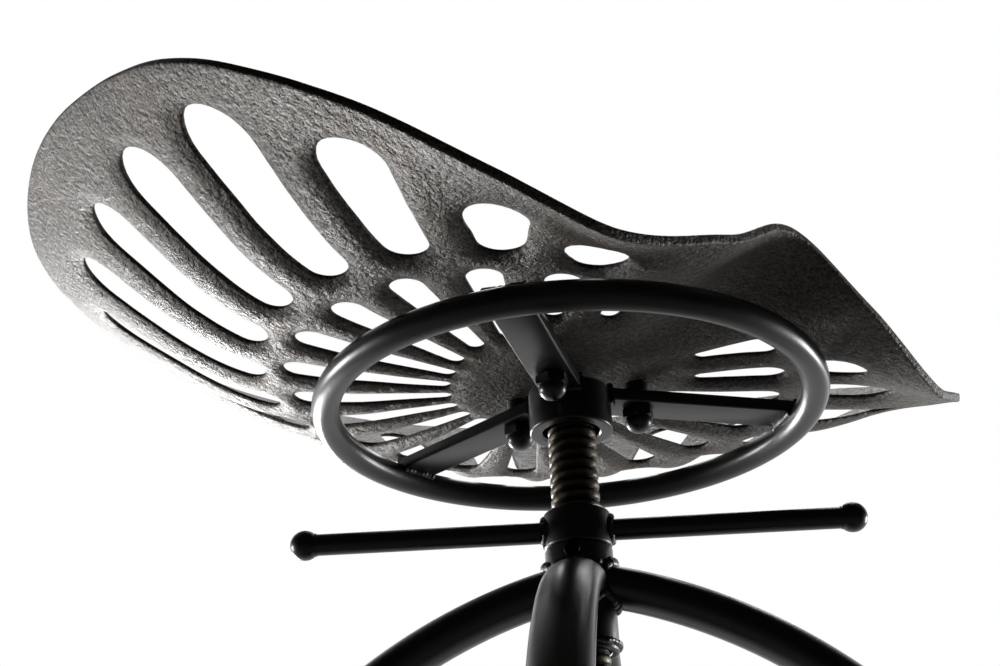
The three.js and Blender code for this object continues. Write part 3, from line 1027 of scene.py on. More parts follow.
@dataclass
class CastSeat:
    """The iron seat: a slotted dish with lobes, one wall thick. Angles run from its front.

    Shares named for a size are of that size, at each of the angles or for each slot from the front.
    """

    half_width: float = 237 * MM
    thickness: float = 4.2 * MM
    rim_rise: float = 84 * MM
    flat_radius: float = 32 * MM
    outline_angles: Numbers = (0, 20, 40, 55, 70, 85, 100, 120, 140, 160, 180)
    reach_shares: Numbers = (0.565, 0.612, 0.696, 0.804, 0.943, 1, 1.017, 1.051, 1.097, 1.101, 1.105)
    rise_shares: Numbers = (0.21, -0.07, -0.25, -0.06, 0.27, 0.655, 0.87, 1.01, 1.02, 1, 1)
    bowl_angles: Numbers = (0, 45, 90, 135, 180)
    bend_shares: Numbers = (0.25, 0.72, 0.63, 0.56, 0.52)
    soft_shares: Numbers = (0.45, 0.28, 0.16, 0.15, 0.15)
    slots_per_side: int = 10
    slot_centre_back: float = 22.6 * MM
    outer_first: float = 35
    outer_start: float = 135 * MM
    outer_start_shares: Numbers = (0.94, 0.99, 1.015, 1.015, 1, 0.965, 0.935, 0.92, 0.91, 0.91)
    outer_end: float = 217 * MM
    outer_end_shares: Numbers = (0.71, 0.8, 0.965, 1.03, 1, 0.98, 0.99, 1, 1, 1)
    outer_inner_half: float = 10 * MM
    outer_half: float = 16 * MM
    outer_width_shares: Numbers = (0.81, 0.81, 0.91, 1.03, 1, 0.875, 0.81, 0.78, 0.78, 0.78)
    inner_first: float = 22
    inner_start: float = 80 * MM
    inner_start_shares: Numbers = (1, 0.95, 0.725, 0.66, 0.59, 0.525, 0.5, 0.49, 0.49, 0.49)
    inner_end: float = 124 * MM
    inner_end_shares: Numbers = (0.95, 0.95, 0.98, 1, 0.99, 0.98, 0.96, 0.93, 0.92, 0.92)
    inner_inner_half: float = 4 * MM
    inner_half: float = 7.8 * MM
    bolt_circle: float = 33 * MM
    bolt_hole: float = 4.3 * MM
    edge_round: float = 1.0 * MM
    edge_wander: float = 0.4 * MM
    edge_wander_size: float = 9 * MM
    skin_wander: float = 0.4 * MM
    skin_wander_size: float = 24 * MM
    skin_seed: float = 3.7
    rib_crown: float = 2.1 * MM
    rib_crown_above: float = 0.2 * MM
    rib_crown_reach: float = 9 * MM
    mesh_step: float = 3.1 * MM
    sharp_bend: float = 60
    rim_sides: int = 420
    rim_sides_a_hole_side: int = 14
    spacer_gap: float = 0.3 * MM

    def __post_init__(self) -> None:
        """Reads where the seat stands, and lists its slots."""
        self.middle = middle_of("seat_hub")
        self.floor = levels_of("seat_spacer_1")[1] + self.spacer_gap
        self.slots = self.all_slots()
        self.holes = [np.array(polar(self.bolt_circle, turn)[:2]) for turn in BAR_TURNS]

    def reach(self, angle: np.ndarray) -> np.ndarray:
        """Returns the plan distance from the axis to the rim."""
        return self.half_width * curve_through(self.outline_angles, self.reach_shares, angle)

    def all_slots(self) -> list[SeatSlot]:
        """Lists the outer and the inner slots of both sides.

        Returns:
            The slots, from the front to the back.
        """
        slots = []
        for at in range(self.slots_per_side):
            outer = (
                self.outer_start * self.outer_start_shares[at],
                self.outer_end * self.outer_end_shares[at],
                self.outer_inner_half,
                self.outer_half * self.outer_width_shares[at],
            )
            inner = (
                self.inner_start * self.inner_start_shares[at],
                self.inner_end * self.inner_end_shares[at],
                self.inner_inner_half,
                self.inner_half,
            )
            for first, sizes in ((self.outer_first, outer), (self.inner_first, inner)):
                from_front = first + at * (180 - first) / (self.slots_per_side - 0.5)
                for side in (-1, 1):
                    angle = math.radians(side * from_front - 90)
                    slots.append(SeatSlot(self.slot_centre_back, angle, *sizes))
        return slots

    def from_axis(self, places: np.ndarray) -> tuple[np.ndarray, np.ndarray]:
        """Turns plan places into distances from the axis and angles from the front.

        Args:
            places: Plan places relative to the axis.

        Returns:
            The distances, and the angles in degrees.
        """
        radius = np.hypot(places[:, 0], places[:, 1])
        return radius, np.degrees(np.arctan2(np.abs(places[:, 0]), -places[:, 1]))

    def underside(self, places: np.ndarray) -> np.ndarray:
        """Reads the level of the underside: flat in the middle, then a soft bend, then a straight rise.

        Args:
            places: Plan places relative to the axis.

        Returns:
            The levels.
        """
        radius, angle = self.from_axis(places)
        share = np.maximum(0, (radius - self.flat_radius) / (self.reach(angle) - self.flat_radius))
        rise = self.rim_rise * curve_through(self.outline_angles, self.rise_shares, angle)
        bend = curve_through(self.bowl_angles, self.bend_shares, angle)
        soft = curve_through(self.bowl_angles, self.soft_shares, angle)
        past, start, end = (at - bend + np.hypot(at - bend, soft) for at in (share, 0, 1))
        return self.floor + rise * (past - start) / (end - start)

    def rim_gap(self, places: np.ndarray) -> np.ndarray:
        """Returns each plan place's distance in from the rim."""
        radius, angle = self.from_axis(places)
        return self.reach(angle) - radius

    def drawn_back(self, places: np.ndarray) -> np.ndarray:
        """Tells how near places are to a slot.

        Args:
            places: Plan places relative to the axis.

        Returns:
            One at a slot's edge, falling as a square to zero at the crown's reach.
        """
        gap = np.full(len(places), self.rib_crown_reach)
        for slot in self.slots:
            gap = np.minimum(gap, slot.gap(places))
        return (1 - np.maximum(gap, 0) / self.rib_crown_reach) ** 2

    def wander(self, places: np.ndarray, size: float, seed: float) -> np.ndarray:
        """Returns a smooth unevenness between about -1 and 1 at plan places."""
        return np.array([noise.noise(Vector((x / size, y / size, seed))) for x, y in places])

    def wall(self, places: np.ndarray, depth: float) -> np.ndarray:
        """Returns points of the wall, square to the underside, with its ribs crowned between slots.

        Args:
            places: Plan places relative to the axis.
            depth: Depth of the points, from the underside towards the sitter.

        Returns:
            The points.
        """
        step = 0.2 * MM
        slopes = []
        for shift in ([step, 0], [0, step]):
            slopes.append((self.underside(places + shift) - self.underside(places - shift)) / (2 * step))
        square = np.stack([-slopes[0], -slopes[1], np.ones(len(places))], axis=1)
        square /= np.linalg.norm(square, axis=1)[:, None]
        points = np.concatenate([places, self.underside(places)[:, None]], axis=1)
        points[:, 2] += self.skin_wander * self.wander(places, self.skin_wander_size, self.skin_seed)
        share = depth / self.thickness
        crown = self.rib_crown * (1 - share) - self.rib_crown_above * share
        points += square * (depth + crown * self.drawn_back(places))[:, None]
        return points + np.array([self.middle.x, self.middle.y, 0])

    def edge_profile(self, radius: float) -> list[tuple[float, float]]:
        """Draws the section of an edge that is rounded above and below.

        Args:
            radius: Radius of the roundings.

        Returns:
            How far each point stands back from the wall, and its depth, from the underside up.
        """
        turns = [math.radians(angle) for angle in (0, 30, 60, 90)]
        lower = [(radius * (1 - math.sin(turn)), radius * (1 - math.cos(turn))) for turn in turns]
        return lower + [(back, self.thickness - depth) for back, depth in reversed(lower)]

    def loops(self) -> list[Callable[[float], np.ndarray]]:
        """Lists the rim, the slots and the bolt holes.

        Returns:
            For each, a function that gives its plan places at a margin into the iron.
        """
        angles = round_angles(self.rim_sides)
        along = np.stack([np.sin(angles), -np.cos(angles)], axis=1)
        from_front = np.degrees(np.minimum(angles, FULL_TURN - angles))
        rim = self.reach(from_front)[:, None]
        functions = [lambda margin: along * (rim - margin)]
        for number, slot in enumerate(self.slots):
            plan = slot.outline(0)
            uneven = self.edge_wander * self.wander(plan, self.edge_wander_size, number)[:, None]
            outward = plan - plan.mean(axis=0)
            outward /= np.linalg.norm(outward, axis=1)[:, None]
            functions.append(lambda margin, s=slot, u=uneven, o=outward: s.outline(margin) + o * u)
        few = angles[:: self.rim_sides_a_hole_side]
        circle = np.stack([np.cos(few), np.sin(few)], axis=1)
        for hole in self.holes:
            functions.append(lambda margin, h=hole: h + circle * (self.bolt_hole + margin))
        return functions

    def inner_places(self) -> np.ndarray:
        """Spreads mesh places over the iron in a triangular net, clear of every edge.

        Returns:
            The plan places.
        """
        net_width = 2.2 * self.half_width
        span = int(net_width / self.mesh_step)
        rows, columns = np.mgrid[0:span, 0:span]
        across = (columns + 0.5 * (rows % 2) - span / 2) * self.mesh_step
        along = (rows - span / 2) * self.mesh_step * math.sqrt(0.75)
        places = np.stack([across.ravel(), along.ravel()], axis=1)
        clear_steps = 0.6
        clear = clear_steps * self.mesh_step + self.edge_round
        places = places[self.rim_gap(places) > clear]
        for slot in self.slots:
            places = places[slot.gap(places) > clear]
        for hole in self.holes:
            places = places[np.linalg.norm(places - hole, axis=1) > self.bolt_hole + clear]
        return places

    def build(self) -> Piece:
        """Makes the seat's mesh: two skins over one plan, and a rounded wall round each loop.

        Returns:
            The new piece.
        """
        loops = self.loops()
        profile = self.edge_profile(self.edge_round)
        plans = [loop(self.edge_round) for loop in loops]
        starts = np.cumsum([0] + [len(plan) for plan in plans])
        outlines = [list(range(start, start + len(plan))) for start, plan in zip(starts, plans)]
        places = np.concatenate([*plans, self.inner_places()])
        inside_outlines = 1
        same_place = 1e-7
        net = geometry.delaunay_2d_cdt(
            [Vector(place) for place in places], [], outlines, inside_outlines, same_place
        )
        sources, within = net[3], net[5]
        only_rim = [0]
        iron = [face for face, loops_round in zip(net[2], within) if loops_round == only_rim]
        kept = [tuple(sources[corner][0] for corner in face) for face in iron]
        count = len(places)
        corners = [self.wall(places, 0.0), self.wall(places, self.thickness)]
        faces = [(a, c, b) for a, b, c in kept] + [(a + count, b + count, c + count) for a, b, c in kept]
        total = 2 * count
        for start, plan, loop in zip(starts, plans, loops):
            rows = [int(start)]
            for back, depth in profile[1:-1]:
                corners.append(self.wall(loop(back), depth))
                rows.append(total)
                total += len(plan)
            rows.append(int(start) + count)
            for low, high in zip(rows, rows[1:]):
                faces += band(low, high, len(plan))
        piece = mesh_piece("cast_seat", np.concatenate(corners), faces, self.sharp_bend)
        self.turn_outwards(piece.data)
        return piece

    def turn_outwards(self, mesh: bpy.types.Mesh) -> None:
        """Makes every face point out of the iron.

        Args:
            mesh: The seat's mesh.
        """
        whole = bmesh.new()
        whole.from_mesh(mesh)
        bmesh.ops.recalc_face_normals(whole, faces=whole.faces)
        whole.to_mesh(mesh)
        whole.free()


@dataclass
class Assembly:
    """A sub-assembly that is made round one upright axis, that of its main node."""

    shop: Workshop

    def stand_at(self, node: str) -> None:
        """Reads where the main node stands, and how wide it is.

        Args:
            node: The main node.
        """
        self.middle = middle_of(node)
        self.bottom, self.top = levels_of(node)
        self.radius = half_width_of(node)

    def place(self, radius: float, turn: float, level: float) -> Vector:
        """Returns the place at this distance from the axis, turn and level."""
        return Vector((self.middle.x, self.middle.y, level)) + polar(radius, turn)


@dataclass
class SeatCarrier(Assembly):
    """The ring, hub, bars, bolts and nuts that carry the seat, and the seat itself."""

    rod: float = 13 * MM
    bore: float = 26 * MM
    journal_bore: float = 16.2 * MM
    bore_depth: float = 8.5 * MM
    bore_chamfer: float = 0.8 * MM
    bar_width: float = 19 * MM
    bar_edge: float = 0.9 * MM
    bolt_circle: float = 33 * MM
    nut_across: float = 13 * MM
    nut_dome: float = 12.6 * MM
    nut_hexagon: float = 4.7 * MM
    head_height: float = 4.5 * MM
    shank: float = 8 * MM
    spacer: float = 11 * MM
    hub_bead: float = 3.4 * MM
    ring_bead: float = 3.6 * MM

    def __post_init__(self) -> None:
        """Reads where the hub, the ring and the bars stand."""
        self.stand_at("seat_hub")
        self.ring_mean = half_width_of("seat_ring") - self.rod / 2
        self.ring_level = sum(levels_of("seat_ring")) / 2
        self.bar_bottom, self.bar_top = levels_of("seat_bar_1")

    def ring(self) -> Piece:
        """Bends the ring's round rod.

        Returns:
            The new piece.
        """
        centre = Vector((self.middle.x, self.middle.y, self.ring_level))
        places = circle_places(centre, self.ring_mean, 160)
        return self.shop.tube("seat_support_ring", places, self.rod, self.rod, closed=True)

    def hub(self) -> Piece:
        """Turns the hub with its open bore, narrower above for the journal.

        Returns:
            The new piece.
        """
        bore = self.bore / 2
        narrow = self.journal_bore / 2
        shoulder = self.bottom + self.bore_depth
        profile = [
            (bore + self.bore_chamfer, self.bottom),
            (self.radius, self.bottom),
            (self.radius, self.top),
            (narrow, self.top),
            (narrow, shoulder),
            (bore, shoulder),
            (bore, self.bottom + self.bore_chamfer),
        ]
        return turned_collar("seat_hub_turned", profile, self.middle, sides=96, edge=1.1 * MM)

    def bar(self, number: int) -> Piece:
        """Makes a flat bar from the hub into the ring's rod, with softened edges.

        Args:
            number: The bar's place in the order of BAR_TURNS.

        Returns:
            The new piece.
        """
        inner = self.radius - 1.5 * MM
        outer = self.ring_mean - 2.5 * MM
        block = bmesh.new()
        bmesh.ops.create_cube(block, size=1)
        size = Matrix.Diagonal((outer - inner, self.bar_width, self.bar_top - self.bar_bottom, 1))
        lift = (self.bar_bottom + self.bar_top) / 2
        shift = Matrix.Translation(((inner + outer) / 2, 0, lift))
        turn = Matrix.Rotation(BAR_TURNS[number], 4, "Z")
        centre = Matrix.Translation((self.middle.x, self.middle.y, 0))
        bmesh.ops.transform(block, matrix=centre @ turn @ shift @ size, verts=block.verts)
        bmesh.ops.bevel(
            block,
            geom=block.edges[:],
            offset=self.bar_edge,
            segments=3,
            profile=0.5,
            affect="EDGES",
            clamp_overlap=True,
        )
        return bmesh_piece(f"flat_bar_{number + 1}", block)

    def bar_welds(self, number: int) -> list[Piece]:
        """Lays the beads that join a bar to the hub and to the ring, under it and over it.

        Args:
            number: The bar's place in the order of BAR_TURNS.

        Returns:
            The four beads.
        """
        turn = BAR_TURNS[number]
        half = self.bar_width / 2
        reach = self.radius + 0.3 * MM
        spread = math.asin(half / self.radius)
        across = polar(1, turn + QUARTER_TURN)
        weld = self.shop.weld
        beads = []
        hub_levels = {"under": self.bar_bottom - 0.2 * MM, "over": self.bar_top + 0.1 * MM}
        for side, level in hub_levels.items():
            seam = [self.place(reach, turn + share * spread, level) for share in SEAM_SHARES]
            name = f"hub_weld_{side}_{number + 1}"
            beads.append(weld(name, seam, self.hub_bead, WeldSeed.HUB + number, closed=False))
        ring_ends = {
            "under": (self.ring_mean - 6.4 * MM, self.bar_bottom - 0.4 * MM),
            "over": (self.ring_mean - 2.8 * MM, self.bar_top - 1 * MM),
        }
        for side, (radius, level) in ring_ends.items():
            seam = [self.place(radius, turn, level) + across * half * share for share in SEAM_SHARES]
            name = f"ring_weld_{side}_{number + 1}"
            beads.append(weld(name, seam, self.ring_bead, WeldSeed.RING + number, closed=False))
        return beads

    def dome_nut(self, number: int) -> Piece:
        """Makes an acorn nut that points down: a chamfered hexagon and a turned dome.

        Args:
            number: The bolt's place in the order of BAR_TURNS.

        Returns:
            The new piece.
        """
        low, top = levels_of(f"dome_nut_{number + 1}")
        middle = self.place(self.bolt_circle, BAR_TURNS[number], 0)
        shoulder = top - self.nut_hexagon
        hexagon = skin(hexagon_rings(self.nut_across, shoulder, top, middle))
        radius = self.nut_dome / 2
        straight = 1 * MM
        steps = 12
        dome = [(POLE, low)]
        for step in range(1, steps + 1):
            turn = math.radians(90 * step / steps)
            level = low + (shoulder - low - straight) * (1 - math.cos(turn))
            dome.append((radius * math.sin(turn), level))
        dome.append((radius, shoulder + 0.6 * MM))
        dome_skin = skin(lathe_rings(dome, 48, middle))
        name = f"acorn_nut_{number + 1}"
        parts = [mesh_piece(f"{name}_part", *hexagon), mesh_piece(f"{name}_dome", *dome_skin)]
        return joined(name, parts)

    def bolt(self, number: int) -> Piece:
        """Turns a seat bolt with a low domed head and a plain shank.

        Args:
            number: The bolt's place in the order of BAR_TURNS.

        Returns:
            The new piece.
        """
        low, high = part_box(f"seat_bolt_{number + 1}")
        middle = self.place(self.bolt_circle, BAR_TURNS[number], 0)
        head = (high[1] - low[1]) / 2
        under = high[2] - self.head_height
        rim = 0.5 * MM
        shank = self.shank / 2
        profile = [(POLE, low[2]), (shank, low[2]), (shank, under), (head - 0.6 * MM, under)]
        steps = 8
        for step in range(steps + 1):
            turn = math.radians(90 * step / steps)
            level = under + rim + (self.head_height - rim) * math.sin(turn)
            profile.append((max(head * math.cos(turn), POLE), level))
        return mesh_piece(f"seat_bolt_turned_{number + 1}", *skin(lathe_rings(profile, 56, middle)))

    def spacer_piece(self, number: int) -> Piece:
        """Turns the short spacer between a bar and the seat.

        Args:
            number: The bolt's place in the order of BAR_TURNS.

        Returns:
            The new piece.
        """
        low, high = levels_of(f"seat_spacer_{number + 1}")
        middle = self.place(self.bolt_circle, BAR_TURNS[number], 0)
        inner = self.shank / 2 + 0.2 * MM
        outer = self.spacer / 2
        profile = [(inner, low), (outer, low), (outer, high), (inner, high)]
        return turned_collar(f"seat_spacer_turned_{number + 1}", profile, middle, sides=40)

    def build(self) -> None:
        """Makes and dresses the seat and every piece that carries it."""
        dress = self.shop.finishes.dress
        dress(CastSeat(bolt_circle=self.bolt_circle).build(), Body.SEAT, Slot.IRON, "seat")
        dress(self.ring(), Body.SEAT, Slot.PAINT, "seat_ring")
        dress(self.hub(), Body.SEAT, Slot.PAINT, "seat_hub")
        for number in range(len(BAR_TURNS)):
            dress(self.bar(number), Body.SEAT, Slot.PAINT, f"seat_bar_{number + 1}")
            for bead in self.bar_welds(number):
                dress(bead, Body.SEAT, Slot.PAINT)
            dress(self.dome_nut(number), Body.SEAT, Slot.PAINT, f"dome_nut_{number + 1}")
            dress(self.bolt(number), Body.SEAT, Slot.STEEL, f"seat_bolt_{number + 1}")
            dress(self.spacer_piece(number), Body.SEAT, Slot.PAINT, f"seat_spacer_{number + 1}")


@dataclass
class LiftingScrew(Assembly):
    """The threaded screw, its journal, and what holds it at both ends."""

    pitch: float = 5 * MM
    thread_depth: float = 0.9 * MM
    crest_half: float = 0.46
    sides: int = 72
    rows_a_pitch: int = 12
    sharp_bend: float = 60
    journal: float = 10 * MM
    end_depth: float = 1.2 * MM
    start_fade: float = 2 * MM
    end_fade: float = 1 * MM
    head_across: float = 13 * MM
    head_height: float = 5.5 * MM
    bolt_shank: float = 8 * MM
    retainer_across: float = 17 * MM
    # Even values of the wear and painted-highlight share, for plain pieces and for the journal.
    evenly_worn_and_lit: float = 0.6
    journal_worn_and_lit: float = 0.8
    # How sharply the painted crest highlight and the wear fall off towards the root.
    lit_wear_falls: int = 8

    def __post_init__(self) -> None:
        """Reads where the screw and its shoulder stand."""
        self.stand_at("lift_screw")
        self.shoulder = levels_of("thrust_washer")[0] - 0.3 * MM

    def thread(self) -> Piece:
        """Makes the screw as one skin: a shallow, rounded right-hand thread, painted bright along its crest
        as wear and a painted highlight, and dark in its root as grime and painted shade.

        Returns:
            The new piece.
        """
        angles = round_angles(self.sides)
        rows = int((self.shoulder - self.bottom) / (self.pitch / self.rows_a_pitch))
        rings = []
        worn_and_lit = []
        for level in np.linspace(self.bottom, self.shoulder, rows):
            phase = (level / self.pitch - angles / FULL_TURN) % 1
            crest = np.sqrt(np.clip(1 - (np.abs(phase - 0.5) / self.crest_half) ** 2, 0, 1))
            from_end = (level - self.bottom) / self.start_fade
            whole = min(from_end, (self.shoulder - level) / self.end_fade, 1)
            radius = self.radius - self.thread_depth * (1 - crest) - self.end_depth * (1 - whole)
            rings.append(level_ring(self.middle, radius, level, angles))
            # Wear and a painted highlight brighten the crest; grime and painted shade darken the root.
            worn_and_lit.append(crest**self.lit_wear_falls)
        for level in (self.shoulder, self.top):
            rings.append(level_ring(self.middle, self.journal / 2, level, angles))
            worn_and_lit.append(np.full(len(angles), self.journal_worn_and_lit))
        piece = mesh_piece("lifting_screw_thread", *skin(rings), self.sharp_bend)
        two_ends = np.full(2, self.evenly_worn_and_lit)
        self.mark_wear_and_light(piece, np.concatenate([*worn_and_lit, two_ends]))
        return piece

    def mark_wear_and_light(self, piece: Piece, worn_and_lit: np.ndarray) -> None:
        """Stores each corner's share of wear and painted highlight, against grime and painted shade, for
        the steel's material.
        """
        attribute = piece.data.attributes.new("worn_and_lit", "FLOAT", "POINT")
        attribute.data.foreach_set("value", worn_and_lit.astype(np.float32))

    def all_worn_and_lit(self, piece: Piece) -> Piece:
        """Marks a whole piece with one even value of the wear and painted-highlight share, and returns it.
        """
        self.mark_wear_and_light(piece, np.full(len(piece.data.vertices), self.evenly_worn_and_lit))
        return piece

    def washer(self, node: str, bore: float, edge: float) -> Piece:
        """Turns a washer in a node's place.

        Args:
            node: The plain node.
            bore: Radius of its hole.
            edge: Rounding of its corners.

        Returns:
            The new piece.
        """
        low, high = levels_of(node)
        outer = half_width_of(node)
        profile = [(bore, low), (outer, low), (outer, high), (bore, high)]
        return turned_collar(f"{node}_turned", profile, self.middle, edge=edge)

    def stop_bolt(self) -> Piece:
        """Makes the hexagon bolt under the stop washer.

        Returns:
            The new piece.
        """
        low, high = levels_of("stop_bolt")
        head_top = low + self.head_height
        radius = self.bolt_shank / 2
        head = skin(hexagon_rings(self.head_across, low, head_top, self.middle))
        shank = skin(lathe_rings([(radius, head_top - 0.5 * MM), (radius, high)], 40, self.middle))
        parts = [mesh_piece("stop_bolt_head", *head), mesh_piece("stop_bolt_shank", *shank)]
        return joined("stop_bolt_made", parts)

    def retainer_nut(self) -> Piece:
        """Makes the thin nut on top of the hub."""
        rings = hexagon_rings(self.retainer_across, *levels_of("retainer_nut"), self.middle)
        return mesh_piece("retainer_nut_made", *skin(rings))

    def build(self) -> None:
        """Makes and dresses the screw and what is on it. The bush turns with the hub."""
        dress = self.shop.finishes.dress
        dress(self.thread(), Body.SCREW, Slot.STEEL, "lift_screw")
        stop = self.washer("stop_washer", self.bolt_shank / 2 + 0.3 * MM, 0.6 * MM)
        dress(self.all_worn_and_lit(stop), Body.SCREW, Slot.STEEL, "stop_washer")
        dress(self.all_worn_and_lit(self.stop_bolt()), Body.SCREW, Slot.STEEL, "stop_bolt")
        bore = self.journal / 2 + 0.3 * MM
        thrust = self.washer("thrust_washer", bore, 0.2 * MM)
        dress(thrust, Body.SCREW, Slot.BRONZE, "thrust_washer")
        retainer = self.washer("retainer_washer", bore, 0.3 * MM)
        dress(self.all_worn_and_lit(retainer), Body.SCREW, Slot.STEEL, "retainer_washer")
        dress(self.all_worn_and_lit(self.retainer_nut()), Body.SCREW, Slot.STEEL, "retainer_nut")
        dress(self.washer("hub_bush", bore, 0.2 * MM), Body.SEAT, Slot.BRONZE, "hub_bush")


@dataclass
class CrossbarNut(Assembly):
    """The turned nut with its two arms and their balls."""

    turn: float = math.radians(-46.7)
    arm: float = 9.6 * MM
    bore: float = 11.3 * MM
    chamfer: float = 1.6 * MM
    bead: float = 4.2 * MM

    def __post_init__(self) -> None:
        """Reads where the nut and its balls stand."""
        self.stand_at("handle_nut")
        low, high = levels_of("handle_ball_right")
        self.ball = (high - low) / 2
        self.reach = (middle_of("handle_ball_right") - self.middle).to_2d().length

    def nut(self) -> Piece:
        """Turns the nut with its chamfered ends.

        Returns:
            The new piece.
        """
        profile = [
            (self.bore, self.bottom),
            (self.radius - self.chamfer / 2, self.bottom),
            (self.radius, self.bottom + self.chamfer / 2),
            (self.radius, self.top - self.chamfer),
            (self.radius - self.chamfer, self.top),
            (self.bore, self.top),
        ]
        return turned_collar("crossbar_nut_turned", profile, self.middle, sides=80)

    def arm_piece(self, name: str, turn: float) -> Piece:
        """Makes one round arm from the nut into its ball.

        Args:
            name: The piece's name.
            turn: Where the arm points, in radians from +X.

        Returns:
            The new piece.
        """
        start = self.radius - 1.5 * MM
        steps = 12
        reaches = [start + (self.reach - start) * at / steps for at in range(steps + 1)]
        places = [self.middle + polar(reach, turn) for reach in reaches]
        return self.shop.tube(name, places, self.arm, self.arm, sides=36)

    def ball_piece(self, name: str, turn: float) -> Piece:
        """Turns a ball with a short neck towards the nut.

        Args:
            name: The piece's name.
            turn: Where its arm points, in radians from +X.

        Returns:
            The new piece.
        """
        neck = self.arm / 2 + 0.35 * MM
        opening = math.asin(neck / self.ball)
        profile = [(neck, -self.ball * math.cos(opening) - 0.9 * MM)]
        steps = 22
        for step in range(steps + 1):
            angle = opening + (math.pi - opening) * step / steps
            profile.append((max(self.ball * math.sin(angle), POLE), -self.ball * math.cos(angle)))
        centre = self.middle + polar(self.reach, turn)
        return mesh_piece(name, *skin(side_rings(profile, 48, centre, turn)))

    def arm_weld(self, name: str, turn: float, seed: int) -> Piece:
        """Lays the bead where an arm meets the nut.

        Args:
            name: The piece's name.
            turn: Where the arm points, in radians from +X.
            seed: Seed of the bead.

        Returns:
            The new piece.
        """
        places = []
        round_arm = self.arm / 2 + 0.4 * MM
        for angle in round_angles(24):
            aside = round_arm * math.cos(angle)
            ahead = math.sqrt(self.radius**2 - aside**2) - 0.3 * MM
            place = self.middle + polar(ahead, turn) + polar(aside, turn + QUARTER_TURN)
            places.append(place + Vector((0, 0, round_arm * math.sin(angle))))
        return self.shop.weld(name, places, self.bead, seed)

    def build(self) -> None:
        """Makes and dresses the nut, the arms, the balls and the welds."""
        dress = self.shop.finishes.dress
        dress(self.nut(), Body.HANDLE, Slot.PAINT, "handle_nut")
        for number, (side, extra) in enumerate((("right", 0.0), ("left", math.pi))):
            turn = self.turn + extra
            arm = self.arm_piece(f"arm_{side}", turn)
            dress(arm, Body.HANDLE, Slot.PAINT, f"handle_rod_{side}")
            ball = self.ball_piece(f"ball_{side}", turn)
            dress(ball, Body.HANDLE, Slot.PAINT, f"handle_ball_{side}")
            bead = self.arm_weld(f"arm_weld_{side}", turn, WeldSeed.ARM + number)
            dress(bead, Body.HANDLE, Slot.PAINT)


